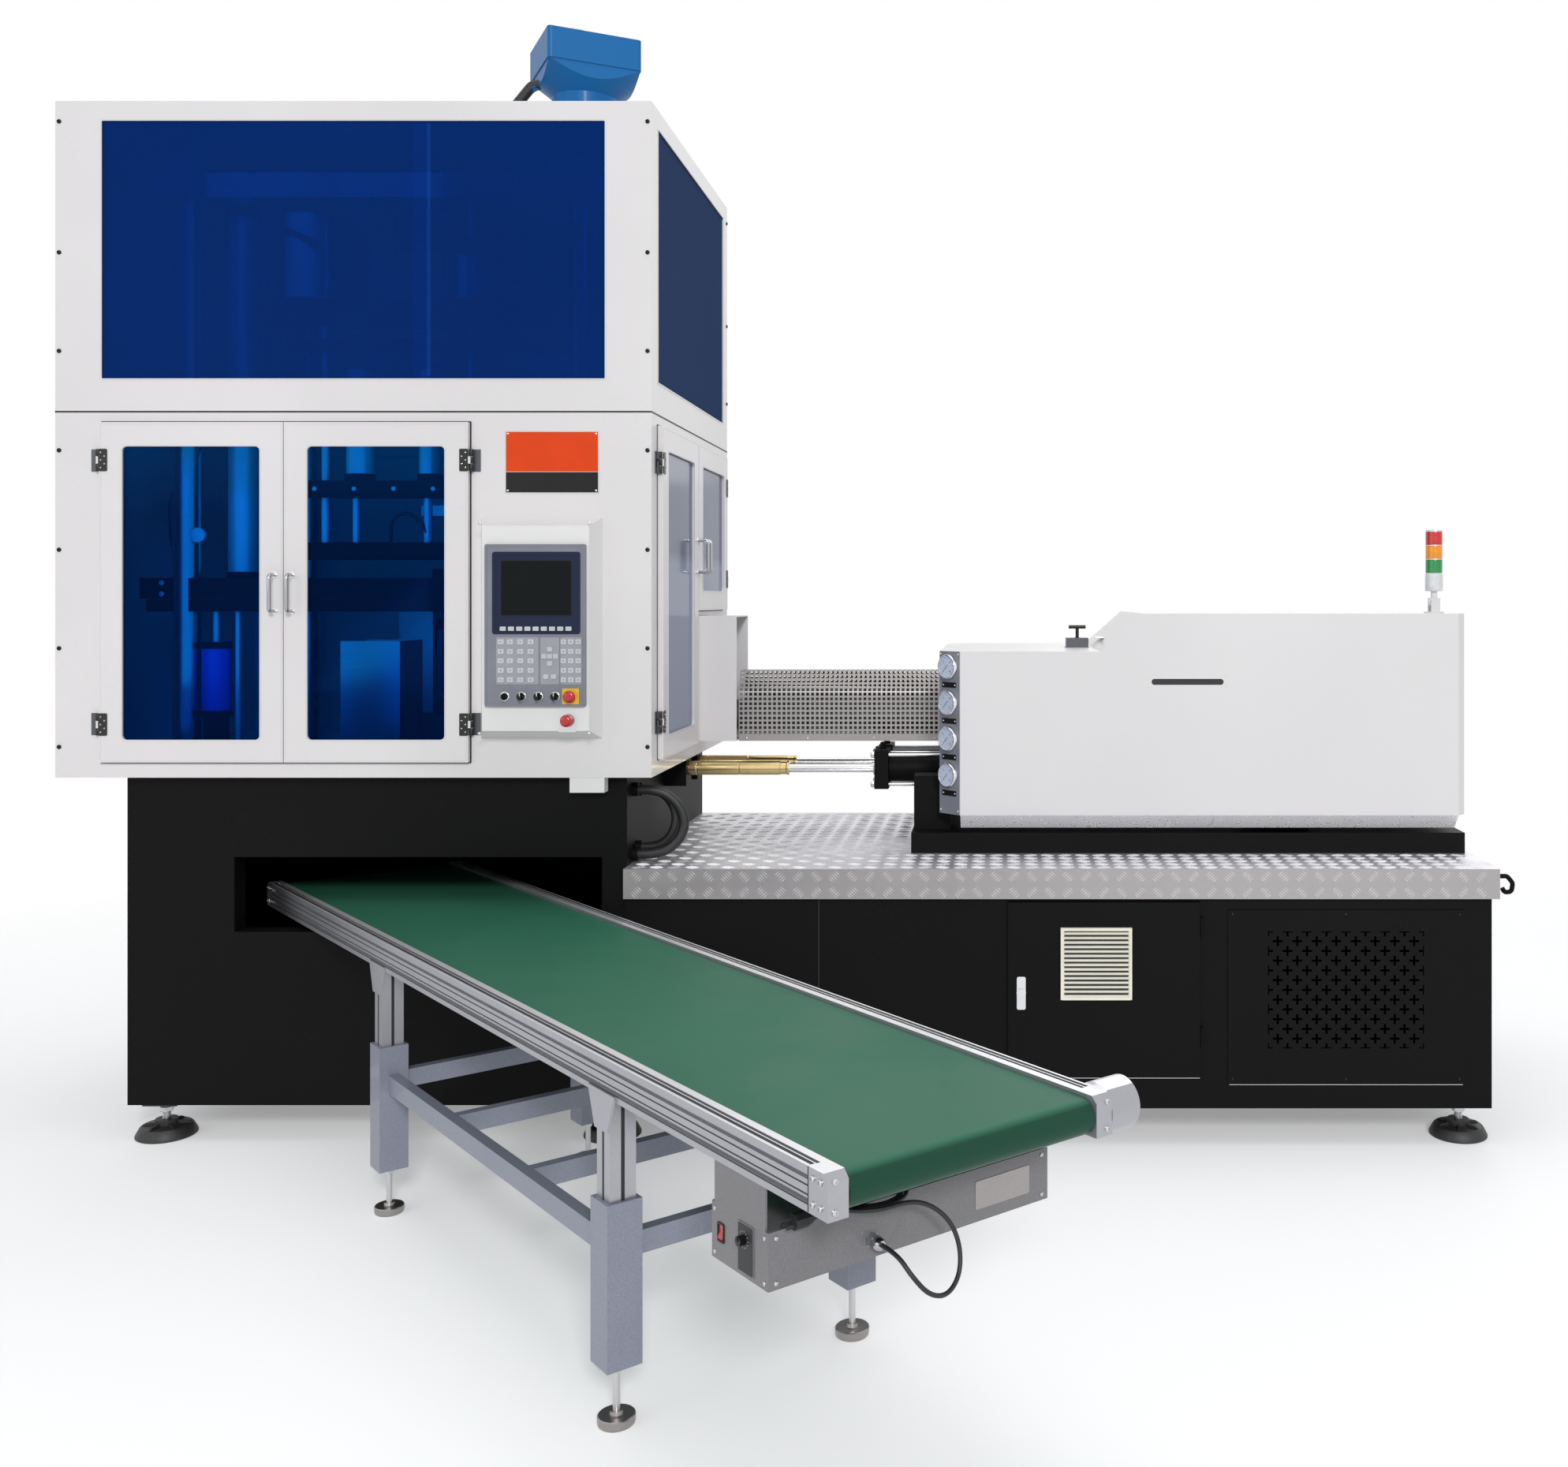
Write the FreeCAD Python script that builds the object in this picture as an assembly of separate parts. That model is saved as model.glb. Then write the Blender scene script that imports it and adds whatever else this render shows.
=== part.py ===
"""Injection stretch blow moulding machine with its take-off conveyor, in millimetres.

The machine stands on the floor at Z 0. Inside the model X runs from the left face of the
guard enclosure to the right end of the deck, and Y runs from the front face of the
enclosure to its back. At the end everything is moved so that the origin lies on the floor
under the middle of the whole object.
"""
import FreeCAD, Part
import math
import os

# guard enclosure
ENCLOSURE_WIDTH = 1890.0
ENCLOSURE_DEPTH = 1320.0
ENCLOSURE_BOTTOM = 1175.0
ENCLOSURE_TOP = 3320.0
SEAM_HEIGHT = 2335.0
SHEET = 4.0                    # guard sheet, with its folded edge
POST = 40.0                    # square tube of the guard frame
UPPER_WINDOW_SILL = 2437.5
UPPER_WINDOW_HEAD = 3260.0
UPPER_WINDOW_SIDE = 145.0      # front sheet left and right of the window
SIDE_WINDOW_SIDE = 88.0        # side sheet before and behind the window
GLASS = 5.0
GLASS_LAP = 14.0               # how far a pane reaches past its hole
CORNER = 18.0                  # corner radius of window holes

# guard doors
DOOR_SILL = 1225.0
DOOR_HEAD = 2300.0
DOOR_THICKNESS = 19.0
DOOR_STANDOFF = 1.0            # door back to guard sheet
DOOR_GAP = 3.0                 # between two leaves
DOOR_LAP = 16.0                # how far a leaf covers the sheet round its opening
DOOR_WINDOW_TOP_RAIL = 75.0
DOOR_WINDOW_BOTTOM_RAIL = 70.0
DOOR_STILE = 72.0
HINGE_OFFSET = 8.0             # knuckle axis outside the leaf edge
HINGE_RADIUS = 6.5
HINGE_HEIGHT = 70.0
HINGE_REACH = 26.0             # width of each hinge leaf
HINGE_PLATE = 2.5
HINGE_FROM_END = 120.0         # hinge centre to the leaf's top or bottom
FRONT_DOORS_LEFT = 150.0
FRONT_DOORS_RIGHT = 1315.0
SIDE_DOORS_FRONT = 80.0
SIDE_DOORS_BACK = 1220.0
SIDE_DOORS_MEET = 650.0
REAR_LEAF_SILL = 1700.0        # the rear side leaf ends above the entry shroud
HANDLE_LENGTH = 125.0
HANDLE_BAR = 11.0
HANDLE_REACH = 38.0
HANDLE_FROM_EDGE = 26.0
HANDLE_HEIGHT = 1760.0

# base column and its outlet
COLUMN_LEFT = 200.0
COLUMN_RIGHT = 1800.0
COLUMN_FRONT = 50.0
COLUMN_BACK = 1270.0
FRAME_BOTTOM = 120.0
PLATE = 12.0                   # wall of the welded bases
BED_PLATE = 40.0               # moulding bed on top of the column
OUTLET_LEFT = 542.0
OUTLET_RIGHT = 1720.0
OUTLET_SILL = 675.0
OUTLET_HEAD = 915.0
OUTLET_DEPTH = 60.0            # flange that lines the outlet

# right cabinet and deck
DECK_RIGHT = 4580.0
DECK_TOP = 885.0
DECK_FASCIA = 95.0
DECK_PLATE = 5.0
CABINET_BACK = 1270.0
CABINET_TOP = 790.0
CABINET_DOOR_LEFT = 3020.0
CABINET_DOOR_RIGHT = 3630.0
CABINET_DOOR_SILL = 222.0
CABINET_DOOR_HEAD = 778.0
CABINET_DOOR_SHEET = 14.0
CABINET_HINGE_HEIGHT = 60.0
CABINET_HINGE_Z = (350.0, 700.0)
VENT_LEFT = 3720.0
VENT_RIGHT = 4470.0
VENT_SILL = 200.0
VENT_HEAD = 752.0
VENT_SHEET = 4.0
VENT_PITCH = 62.0
PLUS_LENGTH = 32.0
PLUS_STROKE = 7.0
VENT_COLUMNS = 8
VENT_ROWS = 6
LOUVRE_WIDTH = 226.0
LOUVRE_HEIGHT = 228.0
LOUVRE_SLATS = 15
LOUVRE_LEFT = 3187.0
LOUVRE_SILL = 471.0
LOCK_X = 3062.0
LOCK_Z = 492.0

# injection unit, on a carriage that slides along X
AXIS_Y = 740.0                 # barrel axis
AXIS_Z = 1320.0
BARREL_RADIUS = 55.0
HOOD_LEFT = 2790.0
HOOD_RIGHT = 4550.0
HOOD_FRONT = 250.0
HOOD_BACK = 1230.0
HOOD_BOTTOM = 1020.0
HOOD_LOW_TOP = 1566.0
HOOD_TOP = 1693.0
HOOD_STEP_START = 3330.0
HOOD_STEP_END = 3474.0
HOOD_SHEET = 4.0
HOOD_CHAMFER = 72.0
HOOD_END_CHAMFER = 26.0
GAUGE_RADIUS = 39.0
GAUGE_TOP = 1514.0
GAUGE_PITCH = 122.0
GUARD_LEFT = 2052.0
GUARD_HALF_WIDTH = 80.0
GUARD_BOTTOM = 1230.0
GUARD_SHOULDER = 1407.0
GUARD_TOP = 1482.0
GUARD_SHEET = 2.0
GUARD_PITCH = 70.0
GUARD_HOLE = 46.0
SHROUD_LENGTH = 155.0
SHROUD_FRONT = 655.0
SHROUD_BACK = 900.0
SHROUD_BOTTOM = 1230.0
SHROUD_TOP = 1680.0
BED_LEFT = 2695.0
BED_RIGHT = 4560.0
BED_FRONT = 300.0
BED_BACK = 1180.0
BED_THICKNESS = 69.0
GUIDE_RADIUS = 30.0
GUIDE_Z = 1095.0
GUIDE_SPREAD = 620.0           # between the two guide bars
CLEARANCE = 0.5                # sliding and turning fits
CYLINDER_Z = 1135.0
CYLINDER_SPREAD = 200.0
CYLINDER_RADIUS = 48.0
CYLINDER_LEFT = 2548.0
CYLINDER_RIGHT = 3300.0
ROD_RADIUS = 16.0
COUPLING_RADIUS = 25.0
COUPLING_RIGHT = 2238.0

# moulding stations inside the enclosure
TABLE_X = 1076.0
TABLE_RADIUS = 470.0
TABLE_BOTTOM = 1740.0
TABLE_THICKNESS = 50.0
STATION_RADIUS = 400.0
STATION_HOLE = 60.0
COLUMN_SHAFT = 95.0
CROSSHEAD_BOTTOM = 3050.0
CROSSHEAD_THICKNESS = 80.0
TIE_RADIUS = 45.0
TIE_LEFT = 300.0
TIE_RIGHT = 1620.0
TIE_FRONT = 220.0
TIE_BACK = 1100.0
MOULD_TOP = 1700.0
CORE_PLATE_Z = 2000.0
STRETCH_PLATE_Z = 2060.0
TOP_BODY_RADIUS = 118.0
TOP_FLANGE = 332.0
TOP_STANDS_OUT = 439.0         # clamping cylinder above the roof
TOP_HEIGHT = ENCLOSURE_TOP + TOP_STANDS_OUT

# operator panel
BOX_LEFT = 1350.0
BOX_RIGHT = 1735.0
BOX_BOTTOM = 1300.0
BOX_TOP = 2000.0
BOX_DEPTH = 80.0
BOX_TAPER = 30.0               # how far its sides lean in towards the front
BEZEL_LEFT = 1392.0
BEZEL_WIDTH = 314.0
BEZEL_BOTTOM = 1407.0
BEZEL_HEIGHT = 505.0
BEZEL_DEPTH = 12.0
SCREEN_FRAME = (1416.0, 1690.0, 1632.0, 1888.0)
SCREEN = (1442.0, 1664.0, 1688.0, 1862.0)
SWITCH_Z = 1438.0
SWITCH_X = (1455.0, 1507.0, 1560.0, 1612.0)
PANEL_STOP_X = 1659.0
BOX_STOP_X = 1646.0
BOX_STOP_Z = 1362.0
SWITCH_HOLE = 8.0
STOP_TRAVEL = 5.0
STOP_HEAD = 19.0

# feet
PAD_RADIUS = 92.0
STUD_RADIUS = 12.0
FOOT_X = (285.0, 1735.0, 4484.0)
FOOT_INSET = 75.0

# conveyor, in its own frame: along from the near end, across from its left side
CONVEYOR_TAIL_X = 492.382747     # far left corner, inside the base's outlet
CONVEYOR_TAIL_Y = 369.853329
CONVEYOR_YAW = 40.0
CONVEYOR_LENGTH = 3450.0
CONVEYOR_X = CONVEYOR_TAIL_X + CONVEYOR_LENGTH * math.sin(math.radians(CONVEYOR_YAW))
CONVEYOR_Y = CONVEYOR_TAIL_Y - CONVEYOR_LENGTH * math.cos(math.radians(CONVEYOR_YAW))
CONVEYOR_WIDTH = 660.0
RAIL_WIDTH = 42.0
RAIL_HEIGHT = 80.0
RAIL_TOP = 778.0
RAIL_SLOT = 8.0
BELT_TOP = 770.0
BELT_THICKNESS = 2.5
BELT_GAP = 4.0                 # belt edge to rail
ROLLER_RADIUS = 32.0
ROLLER_INSET = 36.0
CAP_LENGTH = 60.0
LEG_SIDE = 60.0
SLEEVE_SIDE = 80.0
SLEEVE_FLOOR = 10.0
SLEEVE_BOTTOM = 130.0
SLEEVE_TOP = 480.0
LEG_BOTTOM = 260.0
LEG_ALONG = (850.0, 2290.0)
LOWER_RAIL_Z = 350.0
LOWER_RAIL_HEIGHT = 50.0
LOWER_RAIL_WIDTH = 30.0
CROSS_BARS = (1330.0, 1810.0)
FOOT_PAD_RADIUS = 40.0
MOTOR_RADIUS = 52.0
MOTOR_LENGTH = 75.0
CTRL_NEAR = 190.0
CTRL_DEPTH = 200.0
CTRL_BOTTOM = 516.0
CTRL_TOP = 620.0
ROCKER_ALONG = 355.0
ROCKER_Z = 570.0
ROCKER_TILT = 8.0
KNOB_ALONG = 270.0
KNOB_Z = 585.0

# mains cord of the conveyor, across / along / up in the conveyor's frame
CORD_RADIUS = 4.5
GLAND_ACROSS = 222.0
GLAND_Z = 550.0
GLAND_LENGTH = 34.0
COIL_ACROSS = 232.0
COIL_NEAR = 138.0              # nearest point of the outer turn
COIL_RADIUS = 84.0
COIL_PITCH = 10.4
COIL_HALF_TURNS = 5
COIL_Z = CTRL_TOP + CORD_RADIUS + 0.3
CORD_LEAD = [(222, 156, 550), (222, 110, 550), (232, 76, 516), (262, 64, 478),
             (308, 70, 462), (348, 84, 484), (360, 98, 530), (348, 112, 576),
             (314, 128, 610), (272, COIL_NEAR, COIL_Z), (COIL_ACROSS, COIL_NEAR, COIL_Z)]
TAIL_LIFT = 11.5                 # rise of the cord that lies over the coil
PLUG_ACROSS = 100.0
PLUG_ALONG = 176.0
PLUG_Z = CTRL_TOP + 14.3
HINGE_OUT = 12.0               # hinge axis to guard sheet
LEAF_BACK = HINGE_OUT - DOOR_STANDOFF
LEAF_FRONT = LEAF_BACK - DOOR_THICKNESS
REBATE = 10.0                  # depth of the step that holds the pane
HINGE_THIRD_GAP = 0.3
CABINET_FRONT = 20.0
CABINET_RIGHT = 4560.0
CHUTE_SIDE = 200.0
CHUTE_WALL = 3.0
CHUTE_TOP = 1600.0
CHUTE_BOTTOM = 945.0
CHUTE_FLANGE = 20.0
STRETCH_CYLINDER_Z = 2520.0
BLOW_HALF = 65.0               # half length of a blow mould half along its slide
BLOW_WIDTH = 160.0
BLOW_OPEN = 60.0               # travel of each half
BLOW_RAIL_Z = 1300.0
TUBE_SIDES = 8
HOSE_RADIUS = 16.0
HOSE_ROUTES = (
    [(0, 0, 0), (60, 0, 0), (118, 6, -34), (150, 10, -92), (142, 8, -150), (102, 0, -194),
     (52, -4, -210), (0, -4, -210)],
    [(0, 52, -6), (46, 52, -6), (92, 50, -36), (116, 46, -88), (108, 44, -140), (78, 46, -180),
     (40, 48, -196), (0, 48, -196)],
)
HOSE_START = (COLUMN_RIGHT + 18.0, 130.0, 1122.0)
PANEL_FACE = -(BOX_DEPTH + BEZEL_DEPTH)
GUIDE_LEFT = 2700.0
GUIDE_RIGHT = 4050.0
PEDESTAL = 125.0
SADDLE_LEFT = 2900.0
SADDLE_RIGHT = 3650.0
SADDLE_PLATE_Z = 1205.0
SADDLE_PLATE = 25.0
BEARING = 100.0
THROAT_LEFT = 3235.0
THROAT_RIGHT = 3315.0
THROAT_HALF = 45.0
HOUSING_RIGHT = 3420.0
TOWER_X = 4490.0
TOWER_Y = 420.0
TOWER_PIVOT_Z = 1730.0
SHAFT_RADIUS = 8.0
SLIDER_THICKNESS = 4.0
MEMBER_WIDTH = 40.0
MEMBERS = (300.0, 1230.0, 2160.0, 3090.0)


def vec(x, y, z):
    return FreeCAD.Vector(x, y, z)


def block(x0, x1, y0, y1, z0, z1):
    return Part.makeBox(x1 - x0, y1 - y0, z1 - z0, vec(x0, y0, z0))


def rod(start, direction, radius, length):
    return Part.makeCylinder(radius, length, vec(*start), vec(*direction))


def rounded(x0, x1, y0, y1, z0, z1, radius, axis):
    """Box whose four edges along one axis ('x', 'y' or 'z') are rounded."""
    solid = block(x0, x1, y0, y1, z0, z1)
    along = {"x": vec(1, 0, 0), "y": vec(0, 1, 0), "z": vec(0, 0, 1)}[axis]
    edges = [e for e in solid.Edges if abs(e.tangentAt(e.FirstParameter).dot(along)) > 0.99]
    return solid.makeFillet(radius, edges)


def prism(points, sweep):
    """Straight solid over a closed outline of points."""
    corners = [vec(*p) for p in points]
    return Part.Face(Part.makePolygon(corners + corners[:1])).extrude(vec(*sweep))


def flat_sided(start, axis, profile, sides=12):
    """Turned piece with flat sides; profile holds distances along the axis and radii."""
    up = vec(*axis)
    side = up.cross(vec(0, 0, 1) if abs(up.z) < 0.9 else vec(1, 0, 0))
    cross = up.cross(side)
    turn = 2 * math.pi / sides

    def ring(distance, radius):
        middle = vec(*start) + up * distance
        points = [middle + side * (radius * math.cos((i + 0.5) * turn))
                  + cross * (radius * math.sin((i + 0.5) * turn)) for i in range(sides)]
        return Part.makePolygon(points + points[:1])

    steps = [Part.makeLoft([ring(*low), ring(*high)], True, True)
             for low, high in zip(profile, profile[1:]) if high[0] != low[0]]
    return fuse(*steps)


def fuse(*shapes):
    return shapes[0].multiFuse(list(shapes[1:])).removeSplitter()


def cut(shape, *tools):
    return shape.cut(list(tools))


def group(*shapes):
    """Separate solids of one node."""
    solids = [solid for shape in shapes for solid in shape.Solids]
    return Part.makeCompound(solids)


def turned(shape, angle, centre=(0, 0, 0), axis=(0, 0, 1)):
    copy = shape.copy()
    copy.rotate(vec(*centre), vec(*axis), angle)
    return copy


def moved(shape, x, y, z):
    copy = shape.copy()
    copy.translate(vec(x, y, z))
    return copy


def mirrored(shape, point, normal):
    return shape.mirror(vec(*point), vec(*normal))


# Guard enclosure

def post_frame(x0, x1, y0, y1, z0, z1, levels):
    """Welded frame of square tube: four posts, and a ring of rails at each level."""
    bars = []
    for x in (x0, x1 - POST):
        for y in (y0, y1 - POST):
            bars.append(block(x, x + POST, y, y + POST, z0, z1))
    for z in levels:
        for y in (y0, y1 - POST):
            bars.append(block(x0 + POST, x1 - POST, y, y + POST, z, z + POST))
        for x in (x0, x1 - POST):
            bars.append(block(x, x + POST, y0 + POST, y1 - POST, z, z + POST))
    return bars


def enclosure_frame():
    floor = ENCLOSURE_BOTTOM + SHEET
    bars = post_frame(SHEET, ENCLOSURE_WIDTH - SHEET, SHEET, ENCLOSURE_DEPTH - SHEET,
                      floor, ENCLOSURE_TOP - SHEET,
                      (floor, SEAM_HEIGHT - POST / 2, ENCLOSURE_TOP - SHEET - POST))
    jamb = FRONT_DOORS_RIGHT
    bars.append(block(jamb, jamb + POST, SHEET, SHEET + POST,
                      floor + POST, SEAM_HEIGHT - POST / 2))
    return fuse(*bars)


def upper_panels():
    shell = block(0, ENCLOSURE_WIDTH, 0, ENCLOSURE_DEPTH, SEAM_HEIGHT, ENCLOSURE_TOP)
    inside = block(SHEET, ENCLOSURE_WIDTH - SHEET, SHEET, ENCLOSURE_DEPTH - SHEET,
                   SEAM_HEIGHT - 1, ENCLOSURE_TOP - SHEET)
    front = block(UPPER_WINDOW_SIDE, ENCLOSURE_WIDTH - UPPER_WINDOW_SIDE, -1, SHEET + 1,
                  UPPER_WINDOW_SILL, UPPER_WINDOW_HEAD)
    side = block(ENCLOSURE_WIDTH - SHEET - 1, ENCLOSURE_WIDTH + 1, SIDE_WINDOW_SIDE,
                 ENCLOSURE_DEPTH - SIDE_WINDOW_SIDE, UPPER_WINDOW_SILL, UPPER_WINDOW_HEAD)
    roof = rod((injection_x(), AXIS_Y, ENCLOSURE_TOP - SHEET - 1), (0, 0, 1),
               TOP_BODY_RADIUS + 3, SHEET + 2)
    return cut(shell, inside, front, side, roof)


def upper_windows():
    lap = GLASS_LAP
    front = block(UPPER_WINDOW_SIDE - lap, ENCLOSURE_WIDTH - UPPER_WINDOW_SIDE + lap,
                  SHEET, SHEET + GLASS, UPPER_WINDOW_SILL - lap, UPPER_WINDOW_HEAD + lap)
    side = block(ENCLOSURE_WIDTH - SHEET - GLASS, ENCLOSURE_WIDTH - SHEET,
                 SIDE_WINDOW_SIDE - lap, ENCLOSURE_DEPTH - SIDE_WINDOW_SIDE + lap,
                 UPPER_WINDOW_SILL - lap, UPPER_WINDOW_HEAD + lap)
    return group(front, side)


def entry_shroud():
    """Sheet duct round the nozzle, open towards the injection unit."""
    x0, x1 = ENCLOSURE_WIDTH, ENCLOSURE_WIDTH + SHROUD_LENGTH
    outside = block(x0, x1, SHROUD_FRONT, SHROUD_BACK, SHROUD_BOTTOM, SHROUD_TOP)
    inside = block(x0 - 1, x1 + 1, SHROUD_FRONT + SHEET, SHROUD_BACK - SHEET,
                   SHROUD_BOTTOM + SHEET, SHROUD_TOP - SHEET)
    return cut(outside, inside)


def lower_panels():
    lap = DOOR_LAP
    right = ENCLOSURE_WIDTH
    shell = block(0, right, 0, ENCLOSURE_DEPTH, ENCLOSURE_BOTTOM, SEAM_HEIGHT - 2)
    inside = block(SHEET, right - SHEET, SHEET, ENCLOSURE_DEPTH - SHEET,
                   ENCLOSURE_BOTTOM + SHEET, SEAM_HEIGHT)
    bed = block(COLUMN_LEFT + POST, COLUMN_RIGHT - POST, COLUMN_FRONT + POST,
                COLUMN_BACK - POST, ENCLOSURE_BOTTOM - 1, ENCLOSURE_BOTTOM + SHEET + 1)
    front = block(FRONT_DOORS_LEFT + lap, FRONT_DOORS_RIGHT - lap, -1, SHEET + 1,
                  DOOR_SILL + lap, DOOR_HEAD - lap)
    side_front = block(right - SHEET - 1, right + 1, SIDE_DOORS_FRONT + lap,
                       SIDE_DOORS_MEET - lap, DOOR_SILL + lap, DOOR_HEAD - lap)
    side_rear = block(right - SHEET - 1, right + 1, SIDE_DOORS_MEET + lap,
                      SIDE_DOORS_BACK - lap, REAR_LEAF_SILL + lap, DOOR_HEAD - lap)
    entry = block(right - SHEET - 1, right + 1, SHROUD_FRONT + SHEET, SHROUD_BACK - SHEET,
                  SHROUD_BOTTOM + SHEET, SHROUD_TOP - SHEET)
    return fuse(cut(shell, inside, bed, front, side_front, side_rear, entry), entry_shroud())


# Guard doors
# Each leaf is drawn in its own frame: the hinge axis stands at the origin, the leaf runs
# along +X and the guard sheet lies at +Y. The place then turns or mirrors it.


def hinge_centres(sill, head):
    return (sill + HINGE_FROM_END, head - HINGE_FROM_END)


def door_leaf(width, sill, head, handle_z):
    x0, x1 = HINGE_OFFSET, HINGE_OFFSET + width
    lap = GLASS_LAP
    hole = (x0 + DOOR_STILE, x1 - DOOR_STILE,
            sill + DOOR_WINDOW_BOTTOM_RAIL, head - DOOR_WINDOW_TOP_RAIL)
    leaf = block(x0, x1, LEAF_FRONT, LEAF_BACK, sill, head)
    window = rounded(hole[0], hole[1], LEAF_FRONT - 1, LEAF_BACK + 1, hole[2], hole[3],
                     CORNER, "y")
    rebate = block(hole[0] - lap, hole[1] + lap, LEAF_BACK - REBATE, LEAF_BACK + 1,
                   hole[2] - lap, hole[3] + lap)
    handle_x = x1 - HANDLE_FROM_EDGE
    pieces = [cut(leaf, window, rebate), door_handle(handle_x, handle_z)]
    for z in hinge_centres(sill, head):
        pieces.append(hinge_half(z, HINGE_HEIGHT / 3 - HINGE_THIRD_GAP * 2))
    return group(*pieces)


def door_pane(width, sill, head):
    side = DOOR_STILE - GLASS_LAP + CLEARANCE
    front = LEAF_BACK - REBATE
    return block(HINGE_OFFSET + side, HINGE_OFFSET + width - side, front, front + GLASS,
                 sill + DOOR_WINDOW_BOTTOM_RAIL - GLASS_LAP + CLEARANCE,
                 head - DOOR_WINDOW_TOP_RAIL + GLASS_LAP - CLEARANCE)


def door_handle(x, z):
    """U handle of round bar, standing on the face of the leaf."""
    half, out = HANDLE_LENGTH / 2 - HANDLE_BAR / 2, LEAF_FRONT - HANDLE_REACH
    return tube([(x, LEAF_FRONT, z - half), (x, out, z - half), (x, out, z + half),
                 (x, LEAF_FRONT, z + half)], HANDLE_BAR / 2)


def hinge_half(z, height):
    """Moving half of a butt hinge: the middle knuckle and the plate on the leaf."""
    front = LEAF_FRONT - HINGE_PLATE
    knuckle = rod((0, 0, z - height / 2), (0, 0, 1), HINGE_RADIUS, height)
    web = block(0, HINGE_OFFSET - 0.5, front, 0, z - height / 2, z + height / 2)
    plate = block(HINGE_OFFSET - 0.5, HINGE_OFFSET + HINGE_REACH, front, LEAF_FRONT,
                  z - HINGE_HEIGHT / 2, z + HINGE_HEIGHT / 2)
    return fuse(knuckle, web, plate)


def hinge_fixed(z):
    """Fixed half: outer knuckles and the plate on the guard sheet."""
    third = HINGE_HEIGHT / 3
    pieces = [block(-HINGE_REACH, -2, HINGE_OUT - HINGE_PLATE, HINGE_OUT,
                    z - HINGE_HEIGHT / 2, z + HINGE_HEIGHT / 2)]
    for bottom in (z - HINGE_HEIGHT / 2, z + HINGE_HEIGHT / 2 - third):
        pieces.append(flat_sided((0, 0, bottom), (0, 0, 1),
                                 [(0, HINGE_RADIUS), (third, HINGE_RADIUS)]))
        pieces.append(block(-HINGE_RADIUS, 0, 0, HINGE_OUT, bottom, bottom + third))
    return fuse(*pieces)


def doors():
    """Width, sill, head, handle height, and where the hinge axis stands, of each leaf."""
    middle = (FRONT_DOORS_LEFT + FRONT_DOORS_RIGHT) / 2
    half = DOOR_GAP / 2
    front_z, side_z = HANDLE_HEIGHT, HANDLE_HEIGHT + 135
    out = ENCLOSURE_WIDTH + HINGE_OUT
    return {
        "front_left": (middle - half - FRONT_DOORS_LEFT, DOOR_SILL, DOOR_HEAD, front_z,
                       (FRONT_DOORS_LEFT - HINGE_OFFSET, -HINGE_OUT), False, 0),
        "front_right": (FRONT_DOORS_RIGHT - middle - half, DOOR_SILL, DOOR_HEAD, front_z,
                        (FRONT_DOORS_RIGHT + HINGE_OFFSET, -HINGE_OUT), True, 0),
        "side_front": (SIDE_DOORS_MEET - half - SIDE_DOORS_FRONT, DOOR_SILL, DOOR_HEAD,
                       side_z, (out, SIDE_DOORS_FRONT - HINGE_OFFSET), False, 90),
        "side_rear": (SIDE_DOORS_BACK - SIDE_DOORS_MEET - half, REAR_LEAF_SILL, DOOR_HEAD,
                      side_z, (out, SIDE_DOORS_BACK + HINGE_OFFSET), True, 90),
    }


def place_door(shape, hinge, flipped, angle):
    placed = mirrored(shape, (0, 0, 0), (1, 0, 0)) if flipped else shape
    return moved(turned(placed, angle), hinge[0], hinge[1], 0)


def door_nodes():
    nodes = {}
    brackets = []
    for name, (width, sill, head, handle_z, hinge, flipped, angle) in doors().items():
        spot = (hinge, flipped, angle)
        nodes["door_" + name] = place_door(door_leaf(width, sill, head, handle_z), *spot)
        nodes["pane_" + name] = place_door(door_pane(width, sill, head), *spot)
        for z in hinge_centres(sill, head):
            brackets.append(place_door(hinge_fixed(z), *spot))
    nodes["hinge_brackets"] = group(*brackets)
    return nodes


# Welded bases and deck


def station(angle):
    """Middle of a moulding station, on the circle round the table's shaft."""
    turn = math.radians(angle)
    return (TABLE_X + STATION_RADIUS * math.cos(turn),
            AXIS_Y + STATION_RADIUS * math.sin(turn))


def injection_x():
    return station(0)[0]


def hollow(x0, x1, y0, y1, z0, z1, wall):
    outside = block(x0, x1, y0, y1, z0, z1)
    return cut(outside, block(x0 + wall, x1 - wall, y0 + wall, y1 - wall, z0 + wall, z1 - wall))


def base_frame():
    """Column under the moulding stations, with its bed plate and lined outlet."""
    top = ENCLOSURE_BOTTOM
    shell = block(COLUMN_LEFT, COLUMN_RIGHT, COLUMN_FRONT, COLUMN_BACK, FRAME_BOTTOM, top)
    inside = block(COLUMN_LEFT + PLATE, COLUMN_RIGHT - PLATE, COLUMN_FRONT + PLATE,
                   COLUMN_BACK - PLATE, FRAME_BOTTOM + PLATE, top - BED_PLATE)
    outlet = block(OUTLET_LEFT, OUTLET_RIGHT, COLUMN_FRONT - 1, COLUMN_FRONT + PLATE + 1,
                   OUTLET_SILL, OUTLET_HEAD)
    x, y = station(240)
    half = CHUTE_SIDE / 2 + CLEARANCE
    drop = block(x - half, x + half, y - half, y + half, top - BED_PLATE - 1, top + 1)
    column = cut(shell, inside, outlet, drop)
    wall = PLATE / 2
    lining = cut(block(OUTLET_LEFT - wall, OUTLET_RIGHT + wall, COLUMN_FRONT + PLATE,
                       COLUMN_FRONT + PLATE + OUTLET_DEPTH, OUTLET_SILL - wall,
                       OUTLET_HEAD + wall),
                 block(OUTLET_LEFT, OUTLET_RIGHT, COLUMN_FRONT, COLUMN_FRONT + PLATE + 99,
                       OUTLET_SILL, OUTLET_HEAD))
    return fuse(column, lining)


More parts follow.
